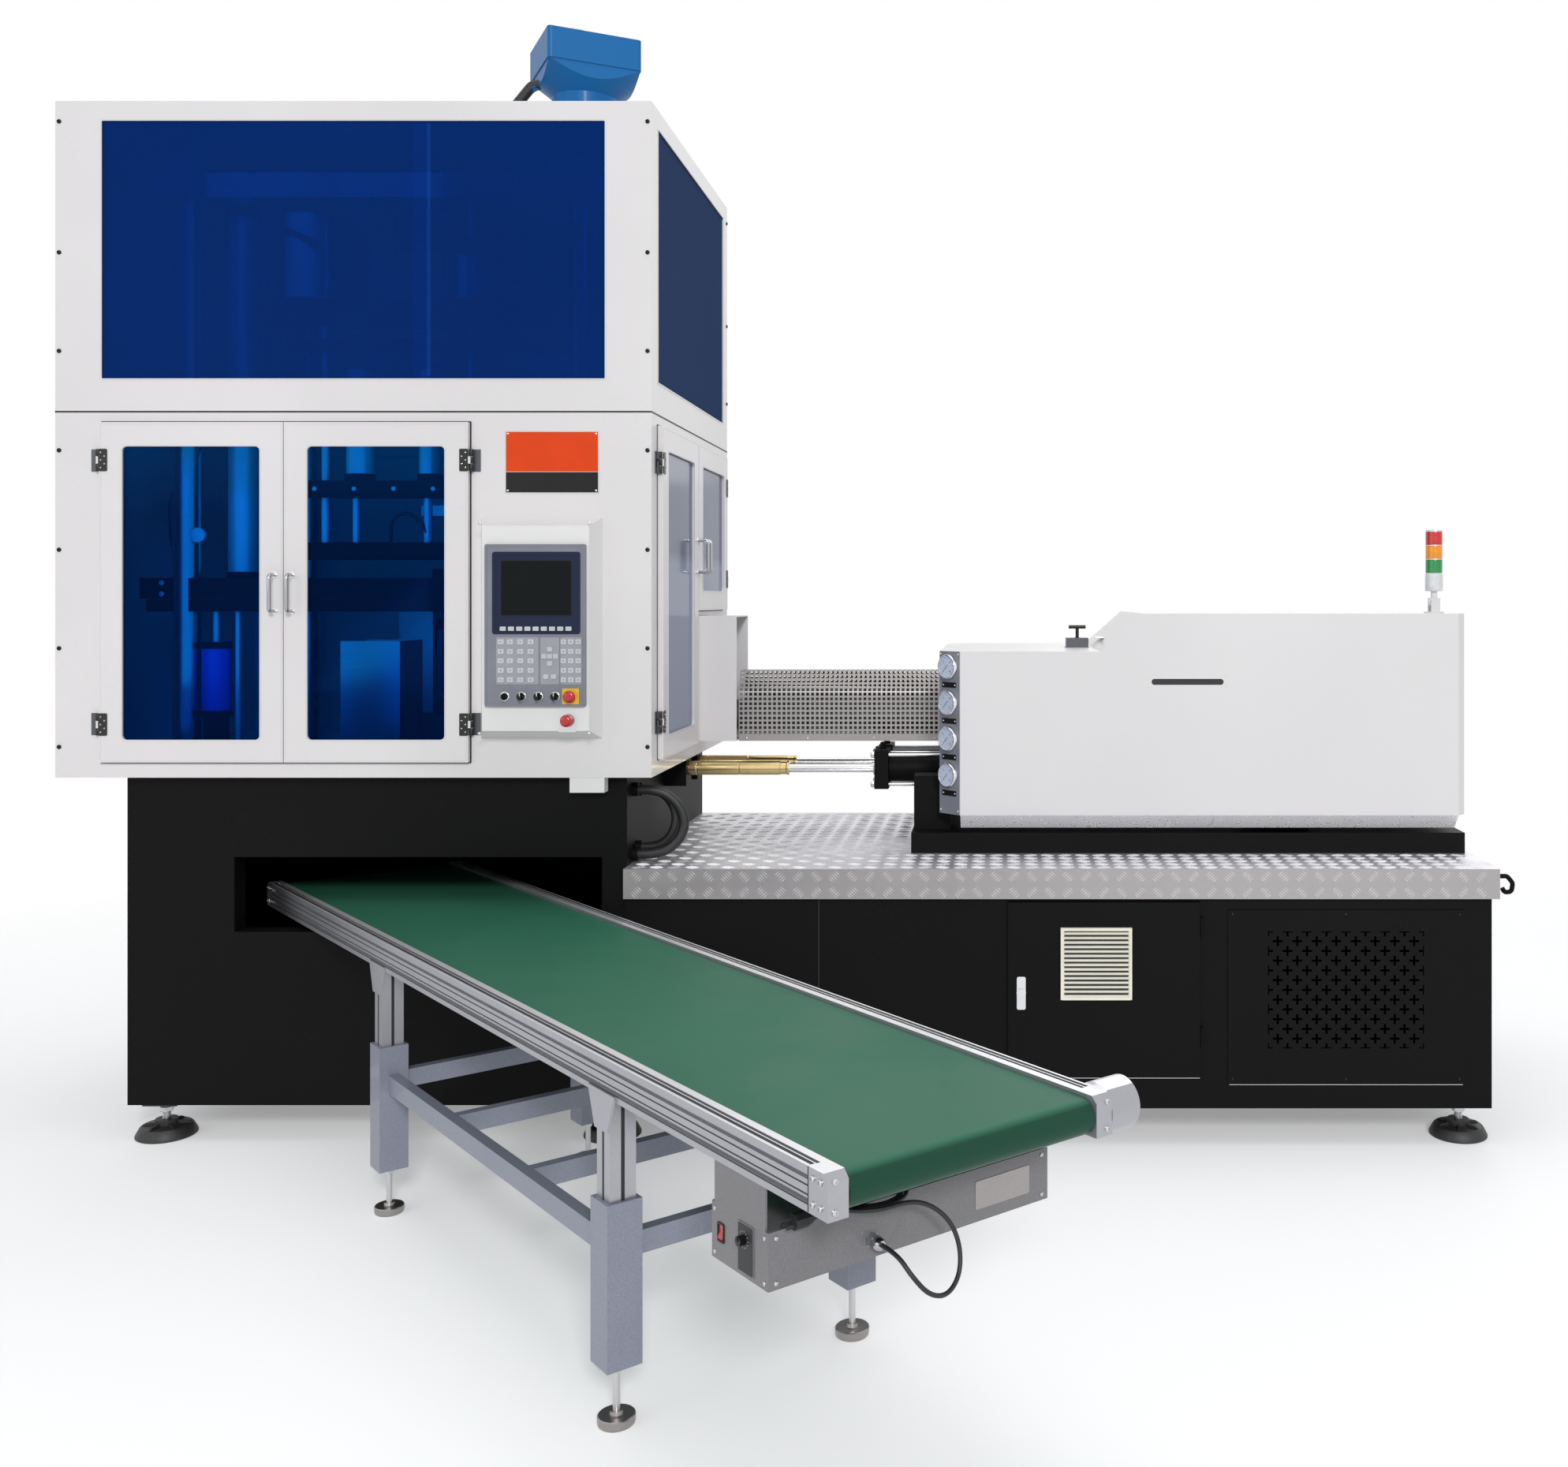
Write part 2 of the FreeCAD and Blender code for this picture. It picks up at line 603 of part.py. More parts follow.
def cabinet_frame():
    front = CABINET_FRONT
    shell = hollow(COLUMN_RIGHT, CABINET_RIGHT, front, CABINET_BACK, FRAME_BOTTOM,
                   CABINET_TOP, PLATE)
    lap = DOOR_LAP
    door = block(CABINET_DOOR_LEFT + lap, CABINET_DOOR_RIGHT - lap, front - 1,
                 front + PLATE + 1, CABINET_DOOR_SILL + lap, CABINET_DOOR_HEAD - lap)
    vent = block(VENT_LEFT + lap, VENT_RIGHT - lap, front - 1, front + PLATE + 1,
                 VENT_SILL + lap, VENT_HEAD - lap)
    return fuse(cut(shell, door, vent), *cabinet_knuckles(False))


def deck_plate():
    """Folded tread plate, standing on the cabinet by its ribs."""
    outside = block(COLUMN_RIGHT, DECK_RIGHT, 0, CABINET_BACK, CABINET_TOP, DECK_TOP)
    inside = block(COLUMN_RIGHT - 1, DECK_RIGHT - DECK_PLATE, DECK_PLATE,
                   CABINET_BACK - DECK_PLATE, CABINET_TOP - 1, DECK_TOP - DECK_PLATE)
    ribs = [block(x, x + PLATE, CABINET_FRONT, CABINET_BACK - DECK_PLATE, CABINET_TOP,
                  DECK_TOP - DECK_PLATE)
            for x in (COLUMN_RIGHT + POST, BED_LEFT + POST, BED_RIGHT - 2 * POST)]
    return fuse(cut(outside, inside), *ribs)


def square_hole(x, z):
    """Square punch on its corner through the vent sheet; the render has plus-shaped holes."""
    half = PLUS_LENGTH / 2
    front, back = CABINET_FRONT - VENT_SHEET - 1, CABINET_FRONT + 1
    return prism([(x - half, front, z), (x, front, z - half), (x + half, front, z),
                  (x, front, z + half)], (0, back - front, 0))


def vent_panel():
    sheet = block(VENT_LEFT, VENT_RIGHT, CABINET_FRONT - VENT_SHEET, CABINET_FRONT,
                  VENT_SILL, VENT_HEAD)
    middle_x = (VENT_LEFT + VENT_RIGHT) / 2
    middle_z = (VENT_SILL + VENT_HEAD) / 2 + 22
    holes = []
    for columns, rows in ((VENT_COLUMNS, VENT_ROWS), (VENT_COLUMNS - 1, VENT_ROWS - 1)):
        for i in range(columns):
            for k in range(rows):
                holes.append(square_hole(middle_x + (i - (columns - 1) / 2) * VENT_PITCH,
                                       middle_z + (k - (rows - 1) / 2) * VENT_PITCH))
    return cut(sheet, *holes)


def cabinet_hinge():
    """Hinge axis of the cabinet door, at its right edge, as x and y."""
    return (CABINET_DOOR_RIGHT + 6, CABINET_FRONT - CABINET_DOOR_SHEET)


def cabinet_knuckles(moving):
    """The door's middle knuckles, or the outer ones that stand on the cabinet."""
    x, y = cabinet_hinge()
    third, pieces = CABINET_HINGE_HEIGHT / 3, []
    for centre in CABINET_HINGE_Z:
        for step in (0,) if moving else (-1, 1):
            low = centre + (step - 0.5) * third + HINGE_THIRD_GAP
            high = low + third - 2 * HINGE_THIRD_GAP
            web = (block(x - 7, x, y, y + 4.5, low, high) if moving
                   else block(x - 3, x + 3, y, CABINET_FRONT, low, high))
            pieces += [rod((x, y, low), (0, 0, 1), 5, high - low), web]
    return pieces


def cabinet_door():
    front, back = CABINET_FRONT - CABINET_DOOR_SHEET, CABINET_FRONT
    leaf = block(CABINET_DOOR_LEFT, CABINET_DOOR_RIGHT, front, back - DOOR_STANDOFF,
                 CABINET_DOOR_SILL, CABINET_DOOR_HEAD)
    air = block(LOUVRE_LEFT + 12, LOUVRE_LEFT + LOUVRE_WIDTH - 12, front - 1, back + 1,
                LOUVRE_SILL + 12, LOUVRE_SILL + LOUVRE_HEIGHT - 12)
    lock = rod((LOCK_X, front - 1, LOCK_Z), (0, 1, 0), SWITCH_HOLE + CLEARANCE,
               CABINET_DOOR_SHEET + 2)
    return fuse(cut(leaf, air, lock), *cabinet_knuckles(True))


def door_louvre():
    """Cream air louvre: a frame on the door with sloping slats."""
    front = CABINET_FRONT - CABINET_DOOR_SHEET
    depth, rim = 10.0, 10.0
    x0, x1 = LOUVRE_LEFT, LOUVRE_LEFT + LOUVRE_WIDTH
    z0, z1 = LOUVRE_SILL, LOUVRE_SILL + LOUVRE_HEIGHT
    frame = cut(block(x0, x1, front - depth, front, z0, z1),
                block(x0 + rim, x1 - rim, front - depth - 1, front + 1, z0 + rim, z1 - rim))
    pitch = (LOUVRE_HEIGHT - 2 * rim) / LOUVRE_SLATS
    slats = []
    for i in range(LOUVRE_SLATS):
        z = z0 + rim + i * pitch
        outline = [(x0 + rim, front - depth + 1, z), (x0 + rim, front - depth + 3, z),
                   (x0 + rim, front - 1, z + pitch - 1), (x0 + rim, front - 3, z + pitch - 1)]
        slats.append(prism(outline, (LOUVRE_WIDTH - 2 * rim, 0, 0)))
    return fuse(frame, *slats)


def door_lock():
    """Swing handle of the cabinet door on its round shaft."""
    front = CABINET_FRONT - CABINET_DOOR_SHEET
    shaft = rod((LOCK_X, front - 4, LOCK_Z), (0, 1, 0), SWITCH_HOLE, CABINET_DOOR_SHEET + 2)
    body = rounded(LOCK_X - 14, LOCK_X + 14, front - 8, front - CLEARANCE, LOCK_Z - 52,
                   LOCK_Z + 52, 6, "y")
    grip = rounded(LOCK_X - 9, LOCK_X + 9, front - 16, front - 8, LOCK_Z - 44, LOCK_Z + 14,
                   4, "y")
    return fuse(body, shaft, grip)


def machine_foot(x, y):
    """Levelling foot: lug welded under the base, stud with nut, ribbed round pad."""
    top = FRAME_BOTTOM
    body = flat_sided((x, y, 0), (0, 0, 1),
                      [(0, PAD_RADIUS), (34, PAD_RADIUS - 14), (34, 34), (54, 34),
                       (54, STUD_RADIUS), (top - 14, STUD_RADIUS)])
    ribs = [turned(block(x + 20, x + PAD_RADIUS - 12, y - 4, y + 4, 30, 44), a, (x, y, 0))
            for a in range(15, 375, 60)]
    nut = flat_sided((x, y, 78), (0, 0, 1), [(0, 21), (16, 21)], 6)
    lug = block(x - 55, x + 55, y - 45, y + 45, top - 14, top)
    return fuse(body, nut, lug, *ribs)


def conveyor_foot(along, across):
    """Round levelling foot whose stud screws into a leg sleeve."""
    r = FOOT_PAD_RADIUS
    return conveyor_place(flat_sided((across, along, 0), (0, 0, 1),
                                     [(0, r - 4), (8, r), (22, r), (22, 13), (30, 13), (30, 8),
                                      (SLEEVE_BOTTOM, 8)]))


def levelling_feet():
    feet = []
    for x in FOOT_X:
        for y in (COLUMN_FRONT + FOOT_INSET, COLUMN_BACK - FOOT_INSET - 20):
            feet.append(machine_foot(x, y))
    for along in LEG_ALONG:
        for across in leg_across():
            feet.append(conveyor_foot(along, across))
    return group(*feet)


# Moulding stations

def clamp_frame():
    """Four tie bars on the bed, the crosshead they carry, and the stretch cylinder."""
    bed = ENCLOSURE_BOTTOM
    cross_top = CROSSHEAD_BOTTOM + CROSSHEAD_THICKNESS
    head = block(TIE_LEFT - 90, TIE_RIGHT + 90, TIE_FRONT - 90, TIE_BACK + 90,
                 CROSSHEAD_BOTTOM, cross_top)
    shaft = rod((TABLE_X, AXIS_Y, CROSSHEAD_BOTTOM - 1), (0, 0, 1),
                COLUMN_SHAFT + CLEARANCE, CROSSHEAD_THICKNESS + 2)
    ram = rod((injection_x(), AXIS_Y, CROSSHEAD_BOTTOM - 1), (0, 0, 1), 31,
              CROSSHEAD_THICKNESS + 2)
    pieces = [cut(head, shaft, ram)]
    for x in (TIE_LEFT, TIE_RIGHT):
        for y in (TIE_FRONT, TIE_BACK):
            pieces.append(rod((x, y, bed), (0, 0, 1), TIE_RADIUS, CROSSHEAD_BOTTOM - bed))
            pieces.append(flat_sided((x, y, cross_top), (0, 0, 1),
                                     [(0, TIE_RADIUS + 20), (60, TIE_RADIUS + 20)], 6))
    x, y = station(120)
    bore = rod((x, y, STRETCH_CYLINDER_Z - 1), (0, 0, 1), 16 + CLEARANCE, 400)
    pieces.append(cut(rod((x, y, STRETCH_CYLINDER_Z), (0, 0, 1), 50,
                          CROSSHEAD_BOTTOM - STRETCH_CYLINDER_Z), bore))
    return group(*pieces)


def rotary_table():
    """Indexing table with a neck-ring hole at each of its three stations."""
    disc = rod((TABLE_X, AXIS_Y, TABLE_BOTTOM), (0, 0, 1), TABLE_RADIUS, TABLE_THICKNESS)
    top = TABLE_BOTTOM + TABLE_THICKNESS
    hub = rod((TABLE_X, AXIS_Y, top), (0, 0, 1), 150, 60)
    shaft = rod((TABLE_X, AXIS_Y, top), (0, 0, 1), COLUMN_SHAFT,
                CROSSHEAD_BOTTOM + CROSSHEAD_THICKNESS - top)
    holes = []
    for angle in (0, 120, 240):
        x, y = station(angle)
        holes.append(rod((x, y, TABLE_BOTTOM - 1), (0, 0, 1), STATION_HOLE,
                         TABLE_THICKNESS + 2))
    return fuse(cut(disc, *holes), hub, shaft)


def injection_mould():
    """Cavity block on the bed, with its nozzle seat towards the barrel."""
    x = injection_x()
    base = block(x - 190, x + 150, AXIS_Y - 170, AXIS_Y + 170, ENCLOSURE_BOTTOM, 1225)
    seat_block = block(x - 150, x + 130, AXIS_Y - 130, AXIS_Y + 130, 1225, 1480)
    cavity = rounded(x - 130, x + 120, AXIS_Y - 110, AXIS_Y + 110, 1480, MOULD_TOP, 12, "z")
    well = rod((x, AXIS_Y, MOULD_TOP - 160), (0, 0, 1), 42, 161)
    nozzle_seat = rod((x + 130, AXIS_Y, AXIS_Z), (1, 0, 0), 30, 20)
    return cut(fuse(base, seat_block, cavity, nozzle_seat), well)


def top_cylinder():
    """Blue clamping cylinder on the crosshead, standing out through the roof."""
    x, y = injection_x(), AXIS_Y
    foot = CROSSHEAD_BOTTOM + CROSSHEAD_THICKNESS
    body_top = TOP_HEIGHT - 110
    half = TOP_FLANGE / 2
    body = rod((x, y, foot), (0, 0, 1), TOP_BODY_RADIUS, body_top - foot + 1)
    flange = turned(rounded(x - half, x + half, y - half, y + half, body_top, TOP_HEIGHT,
                            14, "z"), 28, (x, y, 0))
    skirt = turned(block(x - half + 4, x + half - 4, y - half + 4, y + half - 4,
                         body_top - 90, body_top), 28, (x, y, 0))
    funnel = Part.makeCone(TOP_BODY_RADIUS - 6, TOP_BODY_RADIUS + 110, 90,
                           vec(x, y, body_top - 90))
    cap = rod((x, y, TOP_HEIGHT), (0, 0, 1), 60, 14)
    bore = rod((x, y, foot - 1), (0, 0, 1), 31, 400)
    nut = rod((x, y, TOP_HEIGHT + 14), (0, 0, 1), 24, 16)
    elbow = tube([(x, y, TOP_HEIGHT + 20), (x, y, TOP_HEIGHT + 62),
                  (x - 50, y, TOP_HEIGHT + 62), (x - 50, y, TOP_HEIGHT + 24)], 13)
    side = tube([(x - TOP_BODY_RADIUS + 8, y - 40, body_top - 40),
                 (x - TOP_BODY_RADIUS - 60, y - 40, body_top - 40),
                 (x - TOP_BODY_RADIUS - 150, y - 40, body_top - 150),
                 (x - TOP_BODY_RADIUS - 150, y - 40, ENCLOSURE_TOP)], 17)
    return cut(fuse(body, flange, skirt.common(funnel), cap, nut, elbow, side), bore)


def core_plate():
    """Core plate over the injection mould, on the clamping ram."""
    x, y = injection_x(), AXIS_Y
    plate = rounded(x - 150, x + 150, y - 150, y + 150, CORE_PLATE_Z, CORE_PLATE_Z + 60,
                    10, "z")
    boss = rod((x, y, CORE_PLATE_Z + 60), (0, 0, 1), 60, 40)
    core = Part.makeCone(16, 24, 70, vec(x, y, CORE_PLATE_Z - 70))
    ram_top = CROSSHEAD_BOTTOM + CROSSHEAD_THICKNESS + 350
    ram = rod((x, y, CORE_PLATE_Z + 100), (0, 0, 1), 31 - CLEARANCE,
              ram_top - CORE_PLATE_Z - 100)
    return fuse(plate, boss, core, ram)


def stretch_unit():
    """Stretch rod carrier over the blow mould, hung from its cylinder."""
    x, y = station(120)
    z = STRETCH_PLATE_Z
    plate = rounded(x - 110, x + 110, y - 80, y + 80, z, z + 40, 8, "z")
    needle = rod((x, y, z - 90), (0, 0, 1), 10, 90)
    seal = rod((x, y, z - 30), (0, 0, 1), 34, 30)
    shaft = rod((x, y, z + 40), (0, 0, 1), 16, STRETCH_CYLINDER_Z + 250 - z - 40)
    return fuse(plate, needle, seal, shaft)


def blow_station():
    """Stand of the blow moulds, with a raised rail and a clamp block at each end."""
    x, y = station(120)
    half = BLOW_WIDTH / 2
    reach = 2 * BLOW_HALF + BLOW_OPEN + 70
    stand = block(x - 160, x + 160, y - half, y + half, ENCLOSURE_BOTTOM, BLOW_RAIL_Z - 40)
    rail = block(x - reach, x + reach, y - half, y + half, BLOW_RAIL_Z - 40, BLOW_RAIL_Z)
    ends = [block(x + side * (reach - 30) - 30, x + side * (reach - 30) + 30, y - half,
                  y + half, BLOW_RAIL_Z, MOULD_TOP - 120) for side in (-1, 1)]
    return fuse(stand, rail, *ends)


def blow_mould_half(side):
    """One half of the bottle mould, drawn open; side is -1 left or 1 right."""
    x, y = station(120)
    inner = x + side * BLOW_OPEN
    outer = inner + side * 2 * BLOW_HALF
    half = BLOW_WIDTH / 2 - 8
    body = rounded(min(inner, outer), max(inner, outer), y - half, y + half,
                   BLOW_RAIL_Z + CLEARANCE, MOULD_TOP, 6, "x")
    bottle = fuse(rod((inner, y, BLOW_RAIL_Z + 60), (0, 0, 1), 40, 260),
                  Part.makeCone(40, 16, 50, vec(inner, y, BLOW_RAIL_Z + 320)),
                  rod((inner, y, BLOW_RAIL_Z + 370), (0, 0, 1), 16, 40))
    return cut(body, bottle)


def eject_chute():
    """Square drop tube from the ejection station down to the belt."""
    x, y = station(240)
    half = CHUTE_SIDE / 2
    flange = half + CHUTE_FLANGE
    walls = fuse(block(x - half, x + half, y - half, y + half, CHUTE_BOTTOM, CHUTE_TOP),
                 block(x - flange, x + flange, y - flange, y + flange, ENCLOSURE_BOTTOM,
                       ENCLOSURE_BOTTOM + 6))
    inner = half - CHUTE_WALL
    return cut(walls, block(x - inner, x + inner, y - inner, y + inner, CHUTE_BOTTOM - 1,
                            CHUTE_TOP + 1))


# Bent tubes and hoses

def arc_path(points, end_share=0.45):
    """Straight runs joined by tangent arcs, and the least radius of those arcs."""
    nodes = [vec(*p) for p in points]
    edges, radii, start = [], [], nodes[0]
    for before, corner, after in zip(nodes, nodes[1:], nodes[2:]):
        into, out = corner - before, after - corner
        half_turn = into.getAngle(out) / 2
        trim = min((end_share if before is nodes[0] else 0.45) * into.Length,
                   (end_share if after is nodes[-1] else 0.45) * out.Length)
        radius = trim / math.tan(half_turn)
        into.normalize()
        out.normalize()
        inward = out - into
        inward.normalize()
        first, last = corner - into * trim, corner + out * trim
        middle = corner + inward * (radius / math.cos(half_turn) - radius)
        edges.append(Part.LineSegment(start, first).toShape())
        edges.append(Part.Arc(first, middle, last).toShape())
        radii.append(radius)
        start = last
    edges.append(Part.LineSegment(start, nodes[-1]).toShape())
    return edges, min(radii)


def pipe(edges, radius):
    """Faceted tube of the same section area as a round one, along smoothly joined edges."""
    first = edges[0]
    start = first.valueAt(first.FirstParameter)
    along = first.tangentAt(first.FirstParameter)
    side = along.cross(vec(0, 0, 1) if abs(along.z) < 0.9 else vec(1, 0, 0))
    side.normalize()
    up = along.cross(side)
    turn = 2 * math.pi / TUBE_SIDES
    corner = radius * math.sqrt(turn / math.sin(turn))
    ring = [start + side * (corner * math.cos((i + 0.5) * turn))
            + up * (corner * math.sin((i + 0.5) * turn)) for i in range(TUBE_SIDES)]
    return Part.Wire(edges).makePipeShell([Part.makePolygon(ring + ring[:1])], True, False)


def tube(points, radius):
    edges, least = arc_path(points)
    return pipe(edges, radius)


def bed_hoses():
    """Two thick hoses that leave the column under the enclosure and go back in lower down."""
    x, y, z = HOSE_START
    hoses = []
    for route in HOSE_ROUTES:
        points = [(x + a, y + b, z + c) for a, b, c in route]
        edges, least = arc_path(points)
        length = sum(edge.Length for edge in edges)
        hose = pipe(edges, HOSE_RADIUS)
        print("bed hose: length %.0f, least radius %.1f, volume ratio %.4f"
              % (length, least, hose.Volume / (math.pi * HOSE_RADIUS ** 2 * length)))
        hoses.append(hose)
    return group(*hoses)


def hose_glands():
    """Collars on the column's right wall, where the hoses go in."""
    x, y, z = HOSE_START
    glands = []
    for route in HOSE_ROUTES:
        for a, b, c in (route[0], route[-1]):
            glands.append(rod((COLUMN_RIGHT, y + b, z + c), (1, 0, 0), HOSE_RADIUS + 6,
                              x - COLUMN_RIGHT))
    return group(*glands)


# Operator panel


def control_box():
    """Sheet box with leaning sides, and the small cable box under the enclosure."""
    wires = []
    for inset, y in ((0, 0), (BOX_TAPER, -BOX_DEPTH)):
        x0, x1 = BOX_LEFT + inset, BOX_RIGHT - inset * 0.7
        z0, z1 = BOX_BOTTOM + inset, BOX_TOP - inset
        wires.append(Part.makePolygon([vec(x0, y, z0), vec(x1, y, z0), vec(x1, y, z1),
                                       vec(x0, y, z1), vec(x0, y, z0)]))
    box = Part.makeLoft(wires, True, True)
    hole = rod((BOX_STOP_X, -BOX_DEPTH - 1, BOX_STOP_Z), (0, 1, 0), SWITCH_HOLE, 30)
    cable_box = block(1630, 1740, 2, COLUMN_FRONT - 2, ENCLOSURE_BOTTOM - 48,
                      ENCLOSURE_BOTTOM)
    return group(cut(box, hole), cable_box)


def control_panel():
    face, back = PANEL_FACE, -BOX_DEPTH
    bezel = rounded(BEZEL_LEFT, BEZEL_LEFT + BEZEL_WIDTH, face, back, BEZEL_BOTTOM,
                    BEZEL_BOTTOM + BEZEL_HEIGHT, 6, "y")
    x0, x1, z0, z1 = SCREEN
    screen = block(x0, x1, face - 1, face + 3, z0, z1)
    holes = [rod((x, face - 1, SWITCH_Z), (0, 1, 0), SWITCH_HOLE, BEZEL_DEPTH)
             for x in SWITCH_X + (PANEL_STOP_X,)]
    return cut(bezel, screen, *holes)


def mushroom(x, z, face):
    """Emergency stop: domed head on a stem that slides in its bore."""
    r, stem = STOP_HEAD, SWITCH_HOLE - CLEARANCE
    return flat_sided((x, face + 5, z), (0, -1, 0),
                      [(0, stem), (15, stem), (15, r), (22, r), (28, r - 6)])


def dial(x, z, radius, face, depth):
    """Many-sided knob body that stands out from a face towards the operator."""
    turn = 2 * math.pi / 12
    return prism([(x + radius * math.cos(i * turn), face - depth,
                   z + radius * math.sin(i * turn)) for i in range(12)], (0, depth, 0))


def key_switch():
    x, z = SWITCH_X[0], SWITCH_Z
    barrel = dial(x, z, 12, PANEL_FACE - CLEARANCE, 8)
    shaft = rod((x, PANEL_FACE - 1, z), (0, 1, 0), SWITCH_HOLE - CLEARANCE, 8)
    key = block(x - 1.2, x + 1.2, PANEL_FACE - 26, PANEL_FACE - 8, z - 8, z + 8)
    return fuse(barrel, shaft, key)


def selector(x):
    z = SWITCH_Z
    knob = dial(x, z, 13, PANEL_FACE - CLEARANCE, 10)
    shaft = rod((x, PANEL_FACE - 1, z), (0, 1, 0), SWITCH_HOLE - CLEARANCE, 8)
    grip = block(x - 4, x + 4, PANEL_FACE - 20, PANEL_FACE - 9, z - 12, z + 12)
    return fuse(knob, shaft, grip)


# Injection carriage

def injection_bed():
    """Black plate on the deck, four pedestals and the two round guide bars."""
    top = DECK_TOP + BED_THICKNESS
    pieces = [block(BED_LEFT, BED_RIGHT, BED_FRONT, BED_BACK, DECK_TOP, top)]
    for side in (-1, 1):
        y = AXIS_Y + side * GUIDE_SPREAD / 2
        bar = rod((GUIDE_LEFT, y, GUIDE_Z), (1, 0, 0), GUIDE_RADIUS, GUIDE_RIGHT - GUIDE_LEFT)
        for x in (GUIDE_LEFT, GUIDE_RIGHT - PEDESTAL):
            pieces.append(cut(block(x, x + PEDESTAL, y - 50, y + 50, top, GUIDE_Z + 42), bar))
        pieces.append(bar)
    return group(*pieces)


def carriage_saddle():
    """Plate on four bearing blocks that slide on the guide bars, and its hood arms."""
    pieces = [block(SADDLE_LEFT, SADDLE_RIGHT, AXIS_Y - GUIDE_SPREAD / 2 - 55,
                    AXIS_Y + GUIDE_SPREAD / 2 + 55, SADDLE_PLATE_Z,
                    SADDLE_PLATE_Z + SADDLE_PLATE)]
    for side in (-1, 1):
        y = AXIS_Y + side * GUIDE_SPREAD / 2
        bore = rod((SADDLE_LEFT - 1, y, GUIDE_Z), (1, 0, 0), GUIDE_RADIUS + CLEARANCE,
                   SADDLE_RIGHT - SADDLE_LEFT + 2)
        for x in (SADDLE_LEFT, SADDLE_RIGHT - BEARING):
            pieces.append(cut(block(x, x + BEARING, y - 55, y + 55, GUIDE_Z - 50,
                                    SADDLE_PLATE_Z), bore))
    for x in (SADDLE_LEFT + 60, SADDLE_RIGHT - 160):
        pieces.append(block(x, x + 60, HOOD_FRONT + HOOD_SHEET, HOOD_BACK - HOOD_SHEET,
                            SADDLE_PLATE_Z, SADDLE_PLATE_Z + SADDLE_PLATE))
    return fuse(*pieces)


def hood_body(inset, bottom):
    """Stepped profile of the hood, drawn in by an inset, with chamfered ends."""
    left, right = HOOD_LEFT + inset, HOOD_RIGHT - inset
    low, high = HOOD_LOW_TOP - inset, HOOD_TOP - inset
    shift = inset * 0.4
    front, back = HOOD_FRONT + inset, HOOD_BACK - inset
    profile = [(left, 0, bottom), (left, 0, low), (HOOD_STEP_START + shift, 0, low),
               (HOOD_STEP_END + shift, 0, high), (right, 0, high), (right, 0, bottom)]
    body = prism([(x, front, z) for x, y, z in profile], (0, back - front, 0))
    wide, small = HOOD_CHAMFER - shift, HOOD_END_CHAMFER - shift
    plan = [(left + wide, front), (right - small, front), (right, front + small),
            (right, back - small), (right - small, back), (left + wide, back),
            (left, back - wide), (left, front + wide)]
    return body.common(prism([(x, y, bottom) for x, y in plan], (0, 0, high - bottom)))


def hood():
    """Sheet hood over the injection unit, open below, with a polished skirt in front."""
    shell = cut(hood_body(0, HOOD_BOTTOM), hood_body(HOOD_SHEET, HOOD_BOTTOM - 1))
    barrel = rod((HOOD_LEFT - 1, AXIS_Y, AXIS_Z), (1, 0, 0), BARREL_RADIUS + 14, 8)
    passage = block(HOOD_LEFT - 1, HOOD_LEFT + HOOD_SHEET + 1, HOOD_FRONT + HOOD_CHAMFER + 20,
                    HOOD_BACK - HOOD_CHAMFER - 20, HOOD_BOTTOM - 1, GUARD_BOTTOM - 15)
    throat = block(THROAT_LEFT - 4, THROAT_RIGHT + 4, AXIS_Y - THROAT_HALF - 4,
                   AXIS_Y + THROAT_HALF + 4, HOOD_LOW_TOP - 9, HOOD_LOW_TOP + 1)
    slot = rounded(3500, 3740, HOOD_FRONT - 1, HOOD_FRONT + HOOD_SHEET + 1, 1455, 1475, 9.5,
                   "y")
    reach, sheet = 48.0, 3.0
    y, z = HOOD_FRONT, HOOD_BOTTOM
    skirt = prism([(HOOD_LEFT + HOOD_CHAMFER, y, z), (HOOD_LEFT + HOOD_CHAMFER, y + reach,
                                                      z - reach),
                   (HOOD_LEFT + HOOD_CHAMFER, y + reach + sheet, z - reach + sheet),
                   (HOOD_LEFT + HOOD_CHAMFER, y + HOOD_SHEET, z)],
                  (HOOD_RIGHT - HOOD_LEFT - HOOD_CHAMFER - HOOD_END_CHAMFER, 0, 0))
    return group(cut(shell, barrel, passage, throat, slot), skirt)


def injection_unit():
    """Barrel with heater bands and nozzle, its housing, drive and feed throat."""
    tip = injection_x() + 151.0
    r, band = BARREL_RADIUS, BARREL_RADIUS + 8
    profile = [(0, 9), (28, 20), (95, 20), (95, 38), (130, 38), (130, r)]
    for i in range(6):
        x = GUARD_LEFT + 30 + i * 118 - tip
        profile += [(x, r), (x, band), (x + 86, band), (x + 86, r)]
    profile.append((SADDLE_LEFT + 100 - tip, r))
    barrel = flat_sided((tip, AXIS_Y, AXIS_Z), (1, 0, 0), profile, 16)
    seat = SADDLE_PLATE_Z + SADDLE_PLATE
    housing = block(SADDLE_LEFT + 100, HOUSING_RIGHT, AXIS_Y - 150, AXIS_Y + 150, seat, 1450)
    throat = block(THROAT_LEFT, THROAT_RIGHT, AXIS_Y - THROAT_HALF, AXIS_Y + THROAT_HALF,
                   1450, 1600)
    screw = rod((THROAT_LEFT + 40, AXIS_Y - 20, 1600), (0, 0, 1), 6, 40)
    tee = rod((THROAT_LEFT + 10, AXIS_Y - 20, 1640), (1, 0, 0), 6, 60)
    drive = rod((HOUSING_RIGHT, AXIS_Y, AXIS_Z + 10), (1, 0, 0), 100, 380)
    return fuse(barrel, housing, throat, screw, tee, drive)


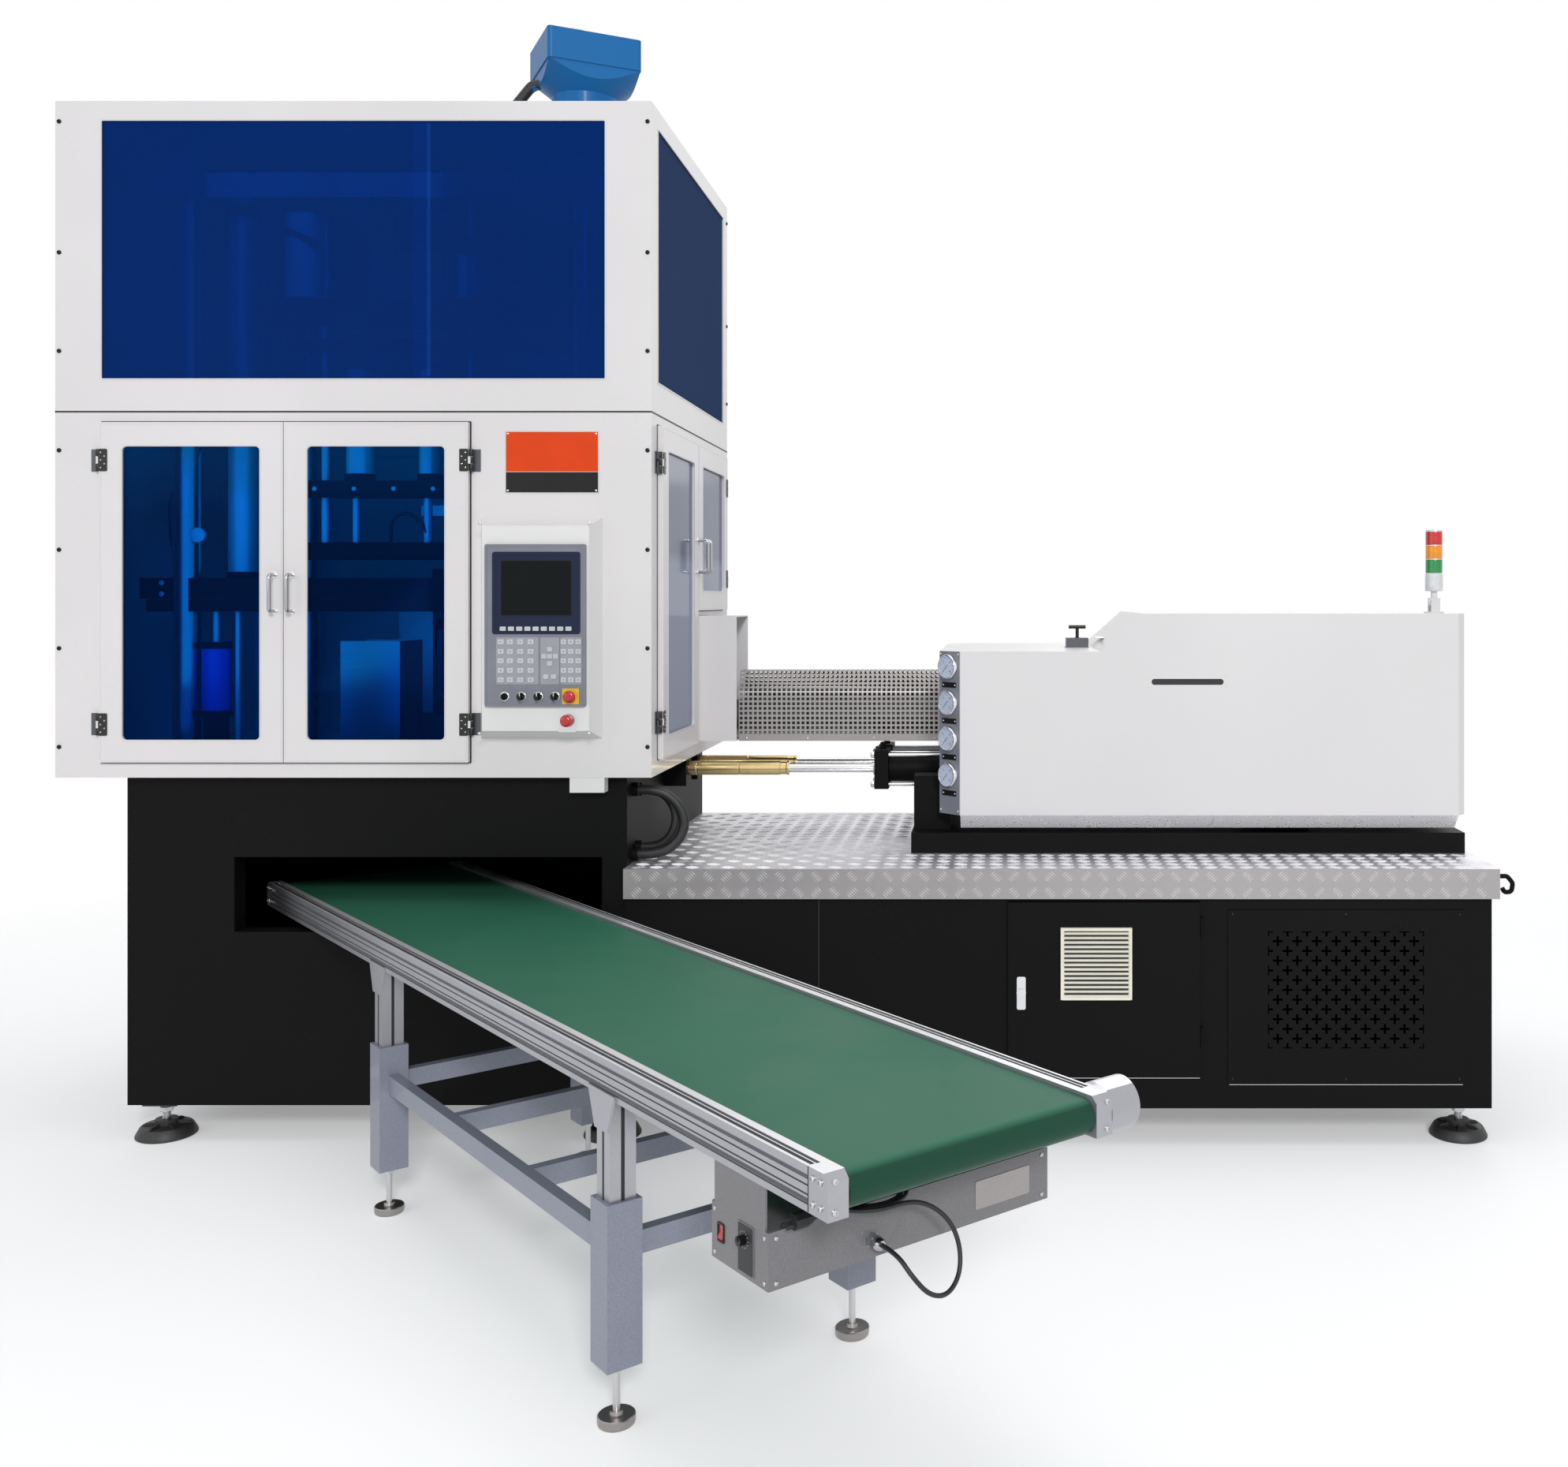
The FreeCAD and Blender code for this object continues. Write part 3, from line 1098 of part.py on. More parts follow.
def gauge_panel():
    """Strip on the hood's front left chamfer with four dial gauges."""
    x, y = HOOD_LEFT + HOOD_CHAMFER / 2, HOOD_FRONT + HOOD_CHAMFER / 2
    half, sheet = HOOD_CHAMFER * 0.66, 3.0
    strip = block(-half, half, -sheet, 0, HOOD_BOTTOM, HOOD_LOW_TOP)
    pieces = [strip]
    for i in range(4):
        z = GAUGE_TOP - i * GAUGE_PITCH
        pieces.append(flat_sided((0, -sheet, z), (0, -1, 0), [(0, GAUGE_RADIUS), (16, GAUGE_RADIUS)]))
    return moved(turned(fuse(*pieces), -45), x, y, 0)


def guard_outline(inset):
    half = GUARD_HALF_WIDTH - inset
    shoulder = GUARD_HALF_WIDTH / 2 - inset * 0.4
    top = GUARD_TOP - inset
    return [(-half, GUARD_BOTTOM), (-half, GUARD_SHOULDER - inset * 0.4), (-shoulder, top),
            (shoulder, top), (half, GUARD_SHOULDER - inset * 0.4), (half, GUARD_BOTTOM)]


def barrel_guard():
    """Folded guard of perforated sheet over the barrel, open below."""
    length = HOOD_LEFT - GUARD_LEFT
    outside = prism([(GUARD_LEFT, AXIS_Y + y, z) for y, z in guard_outline(0)],
                    (length, 0, 0))
    inside = prism([(GUARD_LEFT - 1, AXIS_Y + y, z + (0 if z > GUARD_BOTTOM else -1))
                    for y, z in guard_outline(GUARD_SHEET)], (length + 2, 0, 0))
    count = int(length // GUARD_PITCH)
    first = GUARD_LEFT + (length - (count - 1) * GUARD_PITCH) / 2
    half = GUARD_HOLE / 2
    rows = int((GUARD_SHOULDER - GUARD_BOTTOM) // GUARD_PITCH)
    lean = math.degrees(math.atan2(GUARD_TOP - GUARD_SHOULDER, GUARD_HALF_WIDTH / 2))
    holes = []
    for i in range(count):
        x = first + i * GUARD_PITCH
        for k in range(rows):
            z = (GUARD_BOTTOM + GUARD_SHOULDER) / 2 + (k - (rows - 1) / 2) * GUARD_PITCH
            holes.append(block(x - half, x + half, AXIS_Y - GUARD_HALF_WIDTH - 1,
                               AXIS_Y + GUARD_HALF_WIDTH + 1, z - half, z + half))
        y = AXIS_Y - GUARD_HALF_WIDTH * 0.75
        z = (GUARD_SHOULDER + GUARD_TOP) / 2
        punch = turned(block(x - half, x + half, y - half, y + half, z - 9, z + 9), lean,
                       (x, y, z), (1, 0, 0))
        holes += [punch, mirrored(punch, (0, AXIS_Y, 0), (0, 1, 0))]
    return cut(cut(outside, inside), Part.makeCompound(holes))


def cylinder_rows():
    return (AXIS_Y - CYLINDER_SPREAD / 2, AXIS_Y + CYLINDER_SPREAD / 2)


def carriage_cylinders():
    """Two black cylinders hung under the saddle; they travel and their rods stand still."""
    pieces = []
    half = SADDLE_PLATE_Z - CYLINDER_Z
    for y in cylinder_rows():
        x0, x1 = CYLINDER_LEFT, CYLINDER_RIGHT
        body = rod((x0 + 50, y, CYLINDER_Z), (1, 0, 0), CYLINDER_RADIUS, x1 - x0 - 100)
        ends = [block(x, x + 50, y - half + 2, y + half - 2, CYLINDER_Z - half + 2,
                      CYLINDER_Z + half) for x in (x0, x1 - 50)]
        ties = [flat_sided((x0 - 14, y + a * 52, CYLINDER_Z + b * 52), (1, 0, 0),
                           [(0, 9), (x1 - x0 + 14, 9)], 6)
                for a in (-1, 1) for b in (-1, 1)]
        port = flat_sided((x0 + 25, y, CYLINDER_Z + half), (0, 0, 1), [(0, 12), (22, 12)], 6)
        bore = rod((x0 - 1, y, CYLINDER_Z), (1, 0, 0), ROD_RADIUS + CLEARANCE, 520)
        pieces.append(cut(fuse(body, port, *ends, *ties), bore))
    return group(*pieces)


def carriage_rods():
    """Chrome rods with gilt couplings, anchored in blocks on the column."""
    pieces = []
    for y in cylinder_rows():
        anchor = block(COLUMN_RIGHT, COLUMN_RIGHT + 76, y - 45, y + 45, CYLINDER_Z - 60,
                       CYLINDER_Z + 38)
        coupling = rod((COLUMN_RIGHT + 76, y, CYLINDER_Z), (1, 0, 0), COUPLING_RADIUS,
                       COUPLING_RIGHT - COLUMN_RIGHT - 76)
        bar = rod((COUPLING_RIGHT, y, CYLINDER_Z), (1, 0, 0), ROD_RADIUS,
                  CYLINDER_LEFT + 400 - COUPLING_RIGHT)
        pieces += [anchor, coupling, bar]
    return group(*pieces)


def tower_light():
    """Signal lamps on a folding stem; the foot stays on the hood."""
    x, y, z = TOWER_X, TOWER_Y, TOWER_PIVOT_Z
    knuckle = rod((x, y - 14.7, z), (0, 1, 0), 17, 29.4)
    lamps = flat_sided((x, y, z), (0, 0, 1),
                       [(14, 11), (40, 11), (40, 30), (100, 30), (100, 28), (148, 28), (148, 29),
                        (196, 29), (196, 28), (244, 28), (252, 24)], 16)
    return fuse(knuckle, lamps)


def tower_foot():
    """Flanged yoke on the hood that holds the stem's joint."""
    x, y = TOWER_X, TOWER_Y
    flange = rod((x, y, HOOD_TOP), (0, 0, 1), 33, 5)
    cheeks = [block(x - 15, x + 15, y + side * 19 - 4, y + side * 19 + 4, HOOD_TOP + 5,
                    TOWER_PIVOT_Z + 15) for side in (-1, 1)]
    return fuse(flange, *cheeks)


# Conveyor
# Drawn with X across the belt from its left rail, and Y along it from the near end.

def conveyor_place(shape):
    return moved(turned(shape, CONVEYOR_YAW), CONVEYOR_X, CONVEYOR_Y, 0)


def leg_across():
    return (LEG_SIDE / 2, CONVEYOR_WIDTH - LEG_SIDE / 2)


def roller_z():
    return BELT_TOP - BELT_THICKNESS - ROLLER_RADIUS - CLEARANCE


def rail(side):
    """Slotted aluminium side rail; side is 0 left or 1 right."""
    bottom, top, wide, slot = RAIL_TOP - RAIL_HEIGHT, RAIL_TOP, RAIL_WIDTH, RAIL_SLOT
    middle, low, high = wide / 2, bottom + 20, bottom + 60
    outline = [(0, bottom), (wide, bottom), (wide, top), (middle + slot / 2, top),
               (middle + slot / 2, top - 8), (middle - slot / 2, top - 8),
               (middle - slot / 2, top), (0, top)]
    for z in (high, low):
        outline += [(0, z + slot / 2), (8, z + slot / 2), (8, z - slot / 2), (0, z - slot / 2)]
    run = CONVEYOR_LENGTH - 2 * CAP_LENGTH
    solid = prism([(x, CAP_LENGTH, z) for x, z in outline], (0, run, 0))
    if side:
        solid = mirrored(solid, (CONVEYOR_WIDTH / 2, 0, 0), (1, 0, 0))
    return solid


def end_cap(side, far):
    """Bearing block at a rail's end, its outer top corner cut off."""
    bottom, top, cut_back = RAIL_TOP - RAIL_HEIGHT, RAIL_TOP, 14.0
    outline = [(0, bottom), (CAP_LENGTH, bottom), (CAP_LENGTH, top), (cut_back, top),
               (0, top - cut_back)]
    cap = prism([(0, y, z) for y, z in outline], (RAIL_WIDTH, 0, 0))
    bore = rod((-1, ROLLER_INSET, roller_z()), (1, 0, 0), SHAFT_RADIUS + CLEARANCE,
               RAIL_WIDTH - 9)
    bore = moved(bore, 10, 0, 0)
    cap = cut(cap, bore)
    if side:
        cap = mirrored(cap, (CONVEYOR_WIDTH / 2, 0, 0), (1, 0, 0))
    if far:
        cap = mirrored(cap, (0, CONVEYOR_LENGTH / 2, 0), (0, 1, 0))
    return cap


def gusset(side, along):
    """Trapezoid plate that bolts a leg to its rail, on the outer side."""
    z0, z1 = RAIL_TOP - RAIL_HEIGHT - 70, RAIL_TOP - RAIL_HEIGHT + 13
    outline = [(along - 30, z0), (along + 30, z0), (along + 62, z1), (along - 62, z1)]
    plate = prism([(-6, y, z) for y, z in outline], (6, 0, 0))
    return mirrored(plate, (CONVEYOR_WIDTH / 2, 0, 0), (1, 0, 0)) if side else plate


def conveyor_frame():
    """Everything that rises with the belt: rails, caps, slider bed, legs and motor."""
    inner, outer = RAIL_WIDTH, CONVEYOR_WIDTH - RAIL_WIDTH
    slider_top = BELT_TOP - BELT_THICKNESS - CLEARANCE
    pieces = [rail(0), rail(1)]
    pieces += [end_cap(side, far) for side in (0, 1) for far in (0, 1)]
    slider = block(inner, outer, 2 * ROLLER_INSET + 8, CONVEYOR_LENGTH - 2 * ROLLER_INSET - 8,
                   slider_top - SLIDER_THICKNESS, slider_top)
    members = [block(inner, outer, y, y + MEMBER_WIDTH, roller_z() - 15,
                     slider_top - SLIDER_THICKNESS) for y in MEMBERS]
    pieces.append(fuse(slider, *members))
    bottom = RAIL_TOP - RAIL_HEIGHT
    half = LEG_SIDE / 2
    for along in LEG_ALONG:
        for side, across in enumerate(leg_across()):
            pieces.append(block(across - half, across + half, along - half, along + half,
                                LEG_BOTTOM, bottom))
            pieces.append(gusset(side, along))
    pieces.append(rod((CONVEYOR_WIDTH, ROLLER_INSET + 14, roller_z()), (1, 0, 0),
                      MOTOR_RADIUS, MOTOR_LENGTH))
    return conveyor_place(group(*pieces))


def conveyor_belt():
    """Endless belt round both rollers and over the slider bed."""
    inner_r = ROLLER_RADIUS + CLEARANCE
    outer_r = inner_r + BELT_THICKNESS
    x0 = RAIL_WIDTH + BELT_GAP
    width = CONVEYOR_WIDTH - 2 * x0
    near, far, z = ROLLER_INSET, CONVEYOR_LENGTH - ROLLER_INSET, roller_z()
    loops = []
    for r in (outer_r, inner_r):
        edges = [Part.LineSegment(vec(x0, near, z + r), vec(x0, far, z + r)).toShape(),
                 Part.Arc(vec(x0, far, z + r), vec(x0, far + r, z),
                          vec(x0, far, z - r)).toShape(),
                 Part.LineSegment(vec(x0, far, z - r), vec(x0, near, z - r)).toShape(),
                 Part.Arc(vec(x0, near, z - r), vec(x0, near - r, z),
                          vec(x0, near, z + r)).toShape()]
        loops.append(Part.Face(Part.Wire(edges)).extrude(vec(width, 0, 0)))
    return conveyor_place(cut(loops[0], loops[1]))


def roller(along):
    x0 = RAIL_WIDTH + BELT_GAP
    drum = rod((x0, along, roller_z()), (1, 0, 0), ROLLER_RADIUS, CONVEYOR_WIDTH - 2 * x0)
    shaft = rod((12, along, roller_z()), (1, 0, 0), SHAFT_RADIUS, CONVEYOR_WIDTH - 24)
    return conveyor_place(fuse(drum, shaft))


def conveyor_stand():
    """Painted understand: four leg sleeves, long rails and cross bars."""
    half, hole = SLEEVE_SIDE / 2, LEG_SIDE / 2 + CLEARANCE
    low, high, bar = LOWER_RAIL_Z, LOWER_RAIL_Z + LOWER_RAIL_HEIGHT, LOWER_RAIL_WIDTH / 2
    near, far = LEG_ALONG
    left, right = leg_across()
    pieces = []
    for x in (left, right):
        for y in LEG_ALONG:
            pieces.append(cut(block(x - half, x + half, y - half, y + half, SLEEVE_BOTTOM,
                                    SLEEVE_TOP),
                              block(x - hole, x + hole, y - hole, y + hole,
                                    SLEEVE_BOTTOM + SLEEVE_FLOOR, SLEEVE_TOP + 1)))
        pieces.append(block(x - bar, x + bar, near + half, far - half, low, high))
    for y in LEG_ALONG:
        pieces.append(block(left + half, right - half, y - bar, y + bar, low, high))
    for y in CROSS_BARS:
        pieces.append(block(left + bar, right - bar, y - bar, y + bar, low, high))
    return conveyor_place(fuse(*pieces))


def conveyor_box():
    """Electrical box hung under the near end, with gland and speed plate."""
    far = CTRL_NEAR + CTRL_DEPTH
    body = block(0, CONVEYOR_WIDTH, CTRL_NEAR, far, CTRL_BOTTOM, CTRL_TOP)
    ears = [block(x, x + SHEET, CTRL_NEAR + 10, far - 10, CTRL_TOP, RAIL_TOP - RAIL_HEIGHT)
            for x in (0, CONVEYOR_WIDTH - SHEET)]
    recess = block(-1, 16, ROCKER_ALONG - 8, ROCKER_ALONG + 8, ROCKER_Z - 15, ROCKER_Z + 15)
    knob_bore = rod((-5, KNOB_ALONG, KNOB_Z), (1, 0, 0), 3 + CLEARANCE, 20)
    plate = cut(block(-2, 0, KNOB_ALONG - 32, KNOB_ALONG + 22, CTRL_BOTTOM + 8,
                      CTRL_TOP - 6), knob_bore)
    gland = fuse(rod((GLAND_ACROSS, CTRL_NEAR - 14, GLAND_Z), (0, 1, 0), 13, 14),
                 Part.makeCone(11, CORD_RADIUS + 2, GLAND_LENGTH - 14,
                               vec(GLAND_ACROSS, CTRL_NEAR - 14, GLAND_Z), vec(0, -1, 0)))
    return conveyor_place(group(cut(fuse(body, *ears), recess, knob_bore), plate, gland))


def rocker_switch():
    """Red rocker, lying on its off side."""
    outline = [(8, -12), (8, 12), (-2, 12.5), (0.5, 0), (-2, -12.5)]
    wedge = prism([(x, ROCKER_ALONG - 7.6, ROCKER_Z + z) for x, z in outline], (0, 15.2, 0))
    return conveyor_place(turned(wedge, ROCKER_TILT, (4, ROCKER_ALONG, ROCKER_Z), (0, 1, 0)))


def speed_knob():
    turn = 2 * math.pi / 12
    skirt = prism([(-15.5, KNOB_ALONG + 9.5 * math.cos(i * turn),
                    KNOB_Z + 9.5 * math.sin(i * turn)) for i in range(12)], (13, 0, 0))
    shaft = rod((-3, KNOB_ALONG, KNOB_Z), (1, 0, 0), 3, 12)
    mark = block(-17, -15, KNOB_ALONG - 1, KNOB_ALONG + 1, KNOB_Z, KNOB_Z + 8)
    return conveyor_place(fuse(skirt, shaft, mark))


# Mains cord

def coil_edges():
    """Half turns of a flat spiral, each smaller by half the pitch, going inwards."""
    edges, y, up = [], COIL_NEAR, 1
    for i in range(COIL_HALF_TURNS):
        r = COIL_RADIUS - i * COIL_PITCH / 2
        end = y + up * 2 * r
        edges.append(Part.Arc(vec(COIL_ACROSS, y, COIL_Z),
                              vec(COIL_ACROSS - up * r, y + up * r, COIL_Z),
                              vec(COIL_ACROSS, end, COIL_Z)).toShape())
        y, up = end, -up
    return edges, y


def cord_tail(end):
    """Route from the coil's end, once more round inside it and over its turns to the plug."""
    r = COIL_RADIUS - COIL_HALF_TURNS * COIL_PITCH / 2
    corner, points = r / math.cos(math.radians(15)), [(COIL_ACROSS, end, COIL_Z)]
    for i in range(6):
        angle = math.radians(75 - 30 * i)
        points.append((COIL_ACROSS + corner * math.cos(angle),
                       end - r + corner * math.sin(angle), COIL_Z + i * TAIL_LIFT / 6))
    low = end - 2 * r
    return points + [(206, low, COIL_Z + TAIL_LIFT), (172, low + 1, COIL_Z + TAIL_LIFT + 1),
                     (142, low + 4, COIL_Z + TAIL_LIFT),
                     (PLUG_ACROSS + 12, PLUG_ALONG, PLUG_Z), (PLUG_ACROSS, PLUG_ALONG, PLUG_Z)]


def coil_gap(edges):
    """Least gap between neighbouring turns, measured on points along the cord."""
    rows = [edge.discretize(24) for edge in edges]
    gaps = [min((a - b).Length for a in rows[i] for b in rows[k])
            for i in range(len(rows)) for k in range(i + 2, len(rows))]
    return min(gaps) - 2 * CORD_RADIUS


def cord_nodes():
    edges, end = coil_edges()
    lead, lead_least = arc_path(CORD_LEAD, 0.9)
    tail, tail_least = arc_path(cord_tail(end), 0.9)
    lengths = [sum(edge.Length for edge in part) for part in (lead, edges, tail)]
    free = [pipe(lead, CORD_RADIUS), pipe(tail, CORD_RADIUS)]
    area = math.pi * CORD_RADIUS ** 2
    print("cord: lead %.0f, coil %.0f, tail %.0f" % tuple(lengths))
    print("cord: least radii %.1f and %.1f, coil gap %.2f"
          % (lead_least, tail_least, coil_gap(edges)))
    print("cord: volume ratios %.4f and %.4f" % (free[0].Volume / (area * lengths[0]),
                                                 free[1].Volume / (area * lengths[2])))
    return {
        "power_cord": conveyor_place(group(*free)),
        "cord_coil": conveyor_place(pipe(edges, CORD_RADIUS)),
        "plug": conveyor_place(plug()),
    }


def plug():
    """Moulded plug with a tapered neck and three flat pins, lying on the box."""
    x, y, z = PLUG_ACROSS, PLUG_ALONG, PLUG_Z
    body = flat_sided((x, y, z), (-1, 0, 0),
                      [(0, CORD_RADIUS + 1), (20, 9), (20, 12), (30, 15.1), (58, 15.1)], 8)
    pins = [block(x - 76, x - 58, y + a - 1.2, y + a + 1.2, z + b - 3.5, z + b + 3.5)
            for a, b in ((-8, -4), (8, -4), (0, 6))]
    return fuse(body, *pins)


# The whole machine

def nodes():
    made = {
        "base_frame": group(base_frame(), hose_glands()),
        "cabinet_frame": cabinet_frame(),
        "deck_plate": deck_plate(),
        "vent_panel": vent_panel(),
        "cabinet_door": cabinet_door(),
        "door_louvre": door_louvre(),
        "door_lock": door_lock(),
        "levelling_feet": levelling_feet(),
        "enclosure_frame": enclosure_frame(),
        "upper_panels": upper_panels(),
        "upper_windows": upper_windows(),
        "lower_panels": lower_panels(),
        "control_box": control_box(),
        "control_panel": control_panel(),
        "stop_button_panel": mushroom(PANEL_STOP_X, SWITCH_Z, PANEL_FACE),
        "stop_button_box": mushroom(BOX_STOP_X, BOX_STOP_Z, -BOX_DEPTH),
        "key_switch": key_switch(),
        "selector_left": selector(SWITCH_X[1]),
        "selector_middle": selector(SWITCH_X[2]),
        "selector_right": selector(SWITCH_X[3]),
        "clamp_frame": clamp_frame(),
        "top_cylinder": top_cylinder(),
        "rotary_table": rotary_table(),
        "injection_mould": injection_mould(),
        "core_plate": core_plate(),
        "stretch_unit": stretch_unit(),
        "blow_station": blow_station(),
        "blow_mould_left": blow_mould_half(-1),
        "blow_mould_right": blow_mould_half(1),
        "eject_chute": eject_chute(),
        "injection_bed": injection_bed(),
        "carriage_saddle": carriage_saddle(),
        "carriage_cylinders": carriage_cylinders(),
        "carriage_rods": carriage_rods(),
        "injection_unit": injection_unit(),
        "barrel_guard": barrel_guard(),
        "hood": group(hood(), tower_foot()),
        "gauge_panel": gauge_panel(),
        "tower_light": tower_light(),
        "bed_hoses": bed_hoses(),
        "conveyor_stand": conveyor_stand(),
        "conveyor_frame": conveyor_frame(),
        "conveyor_belt": conveyor_belt(),
        "drive_roller": roller(ROLLER_INSET),
        "tail_roller": roller(CONVEYOR_LENGTH - ROLLER_INSET),
        "conveyor_box": conveyor_box(),
        "rocker_switch": rocker_switch(),
        "speed_knob": speed_knob(),
    }
    made.update(door_nodes())
    made.update(cord_nodes())
    return made


def origin():
    """Point on the floor under the middle of the whole object."""
    return ((0 + DECK_RIGHT) / 2, (CONVEYOR_Y + ENCLOSURE_DEPTH) / 2)


def main():
    os.makedirs("parts", exist_ok=True)
    middle_x, middle_y = origin()
    for name, shape in nodes().items():
        moved(shape, -middle_x, -middle_y, 0).exportStep("parts/%s.step" % name)
        print(name, len(shape.Solids), "valid" if shape.isValid() else "NOT VALID")


if __name__ == "__main__":
    main()
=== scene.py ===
import bmesh
import bpy
import math
from itertools import product
from mathutils import Matrix, Quaternion, Vector


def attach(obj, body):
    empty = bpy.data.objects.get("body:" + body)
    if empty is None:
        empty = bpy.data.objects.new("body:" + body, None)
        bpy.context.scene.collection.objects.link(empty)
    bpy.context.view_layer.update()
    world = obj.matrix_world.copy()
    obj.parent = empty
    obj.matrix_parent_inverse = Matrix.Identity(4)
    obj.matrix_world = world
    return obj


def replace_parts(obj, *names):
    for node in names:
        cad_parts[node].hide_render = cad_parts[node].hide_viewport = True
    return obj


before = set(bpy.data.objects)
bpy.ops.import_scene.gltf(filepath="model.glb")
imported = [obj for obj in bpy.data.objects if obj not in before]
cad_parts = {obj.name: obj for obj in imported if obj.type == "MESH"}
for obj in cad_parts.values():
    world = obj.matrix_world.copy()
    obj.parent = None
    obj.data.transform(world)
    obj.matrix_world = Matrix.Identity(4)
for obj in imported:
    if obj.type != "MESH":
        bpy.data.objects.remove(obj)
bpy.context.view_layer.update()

# Millimetres from the tower's left front corner on the floor, which stands at left, front.
tower = {"left": 2290.0, "front": 476.5, "wide": 1890, "deep": 1320, "seam": 2335}
# The conveyor's near left corner, its turn in degrees and its legs (across, along).
row = {"x": 2710.0, "y": -2273.0, "yaw": 40.0, "length": 3450.0, "wide": 660,
       "legs": ((30, 850), (30, 2290), (630, 850), (630, 2290))}
picture = {"across": 1988, "up": 1860, "focal": 1920, "axisX": 1270, "axisY": 760,
           "eye": (3000.0, -4800.0, 1740.0)}
# Angles in degrees past which an edge is sharp, on pieces and repeats, or gets a bevel.
edges = {"sharp": 35, "repeated": 32, "bevelled": 40}
front, back, right, upward = (0, -1, 0), (0, 1, 0), (1, 0, 0), (0, 0, 1)
finish = {}
units = {}


def loose(x, y, z):
    return Vector((x, y, z)) / 1000


def at(x, y, z):
    return loose(x - tower["left"], y + tower["front"], z)


def onSide(across, depth, z):
    return at(tower["wide"] - depth, across, z)


def polar(degrees, radius=1.0):
    a = math.radians(degrees)
    return radius * math.cos(a), radius * math.sin(a)


def onRow(across, along, z):
    c, s = polar(row["yaw"])
    return at(row["x"] + c * across - s * along, row["y"] + s * across + c * along, z)


def rowWay(across, along):
    return (onRow(across, along, 0) - onRow(0, 0, 0)).normalized()


class Value:
    # A socket that takes part in sums; each sign adds one Math node.
    def __init__(self, paint, socket):
        self.paint, self.socket = paint, socket

    def do(self, operation, *pair):
        return self.paint.node("Math", {"operation": operation}, dict(enumerate(pair)))

    def __add__(self, other): return self.do("ADD", self, other)
    def __radd__(self, other): return self.do("ADD", other, self)
    def __sub__(self, other): return self.do("SUBTRACT", self, other)
    def __rsub__(self, other): return self.do("SUBTRACT", other, self)
    def __mul__(self, other): return self.do("MULTIPLY", self, other)
    def __rmul__(self, other): return self.do("MULTIPLY", other, self)
    def __gt__(self, other): return self.do("GREATER_THAN", self, other)
    def __lt__(self, other): return self.do("LESS_THAN", self, other)


class Paint:
    # The nodes of one material, or of the world.
    def __init__(self, name, world=None):
        self.material = world or bpy.data.materials.new(name)
        self.material.use_nodes = True
        self.tree = self.material.node_tree
        self.shader = self.tree.nodes.get("Principled BSDF")
        self.spot = self.node("TexCoord", {}, {}, "Object")

    def node(self, kind, settings, inputs, output=0):
        made = self.tree.nodes.new("ShaderNode" + kind)
        for key, value in settings.items():
            setattr(made, key, value)
        for key, value in inputs.items():
            self.feed(made.inputs[key], value)
        return Value(self, made.outputs[output])

    def feed(self, socket, value):
        if isinstance(value, Value):
            self.tree.links.new(value.socket, socket)
        elif isinstance(value, (int, float)):
            socket.default_value = value
        else:
            missing = len(socket.default_value) - len(value)
            socket.default_value = tuple(value) + (1.0,) * missing

    def set(self, **inputs):
        for key, value in inputs.items():
            self.feed(self.shader.inputs[key.replace("_", " ")], value)
        return self.material

    def noise(self, scale, detail=3, rough=0.5, where=None):
        return self.node("TexNoise", {}, {"Vector": where or self.spot, "Scale": scale,
                                          "Detail": detail, "Roughness": rough}, "Fac")

    def wave(self, where, scale, axis, distortion=0.0):
        return self.node("TexWave", {"bands_direction": axis},
                         {"Vector": where, "Scale": scale, "Distortion": distortion}, "Fac")

    def part(self, axis, where=None):
        return self.node("SeparateXYZ", {}, {0: where or self.spot}, axis)

    def between(self, value, low, high):
        return self.node("MapRange", {}, {"Value": value, "From Min": low, "From Max": high})

    def patches(self, low, high, *noise):
        return self.between(self.noise(*noise), low, high)

    def mix(self, share, first, second):
        return self.node("Mix", {"data_type": "RGBA"}, {0: share, 6: first, 7: second}, 2)

    def drift(self, share, colour, first, second=1.0):
        # One colour that wanders between two shades of itself.
        return self.mix(share, shade(colour, first), shade(colour, second))

    def bump(self, height, strength, distance):
        return self.node("Bump", {}, {"Height": height, "Strength": strength,
                                      "Distance": distance})


def circle(centre, side, cross, radius, count):
    angles = [2 * math.pi * i / count for i in range(count)]
    return [centre + (side * math.cos(t) + cross * math.sin(t)) * radius / 1000
            for t in angles]


def roundedLoop(x0, x1, z0, z1, radius, steps=5):
    radius, out = max(radius, 0.5), []
    for cx, cz, start in ((x1 - radius, z1 - radius, 0), (x0 + radius, z1 - radius, 90),
                          (x0 + radius, z0 + radius, 180), (x1 - radius, z0 + radius, 270)):
        for i in range(steps + 1):
            x, z = polar(start + 90 * i / steps, radius)
            out.append((cx + x, cz + z))
    return out


def corner(points, radius, steps):
    # The path with each of its inner corners rounded.
    points, out = [Vector(p) for p in points], [Vector(points[0])]
    for before, middle, after in zip(points, points[1:], points[2:]):
        a, b = before - middle, after - middle
        reach = min(radius / math.tan(a.angle(b) / 2), 0.48 * a.length, 0.48 * b.length)
        start, end = middle + a.normalized() * reach, middle + b.normalized() * reach
        for i in range(steps + 1):
            t = i / steps
            out.append(start * (1 - t) ** 2 + middle * (2 * t * (1 - t)) + end * t * t)
    return out + [points[-1]]


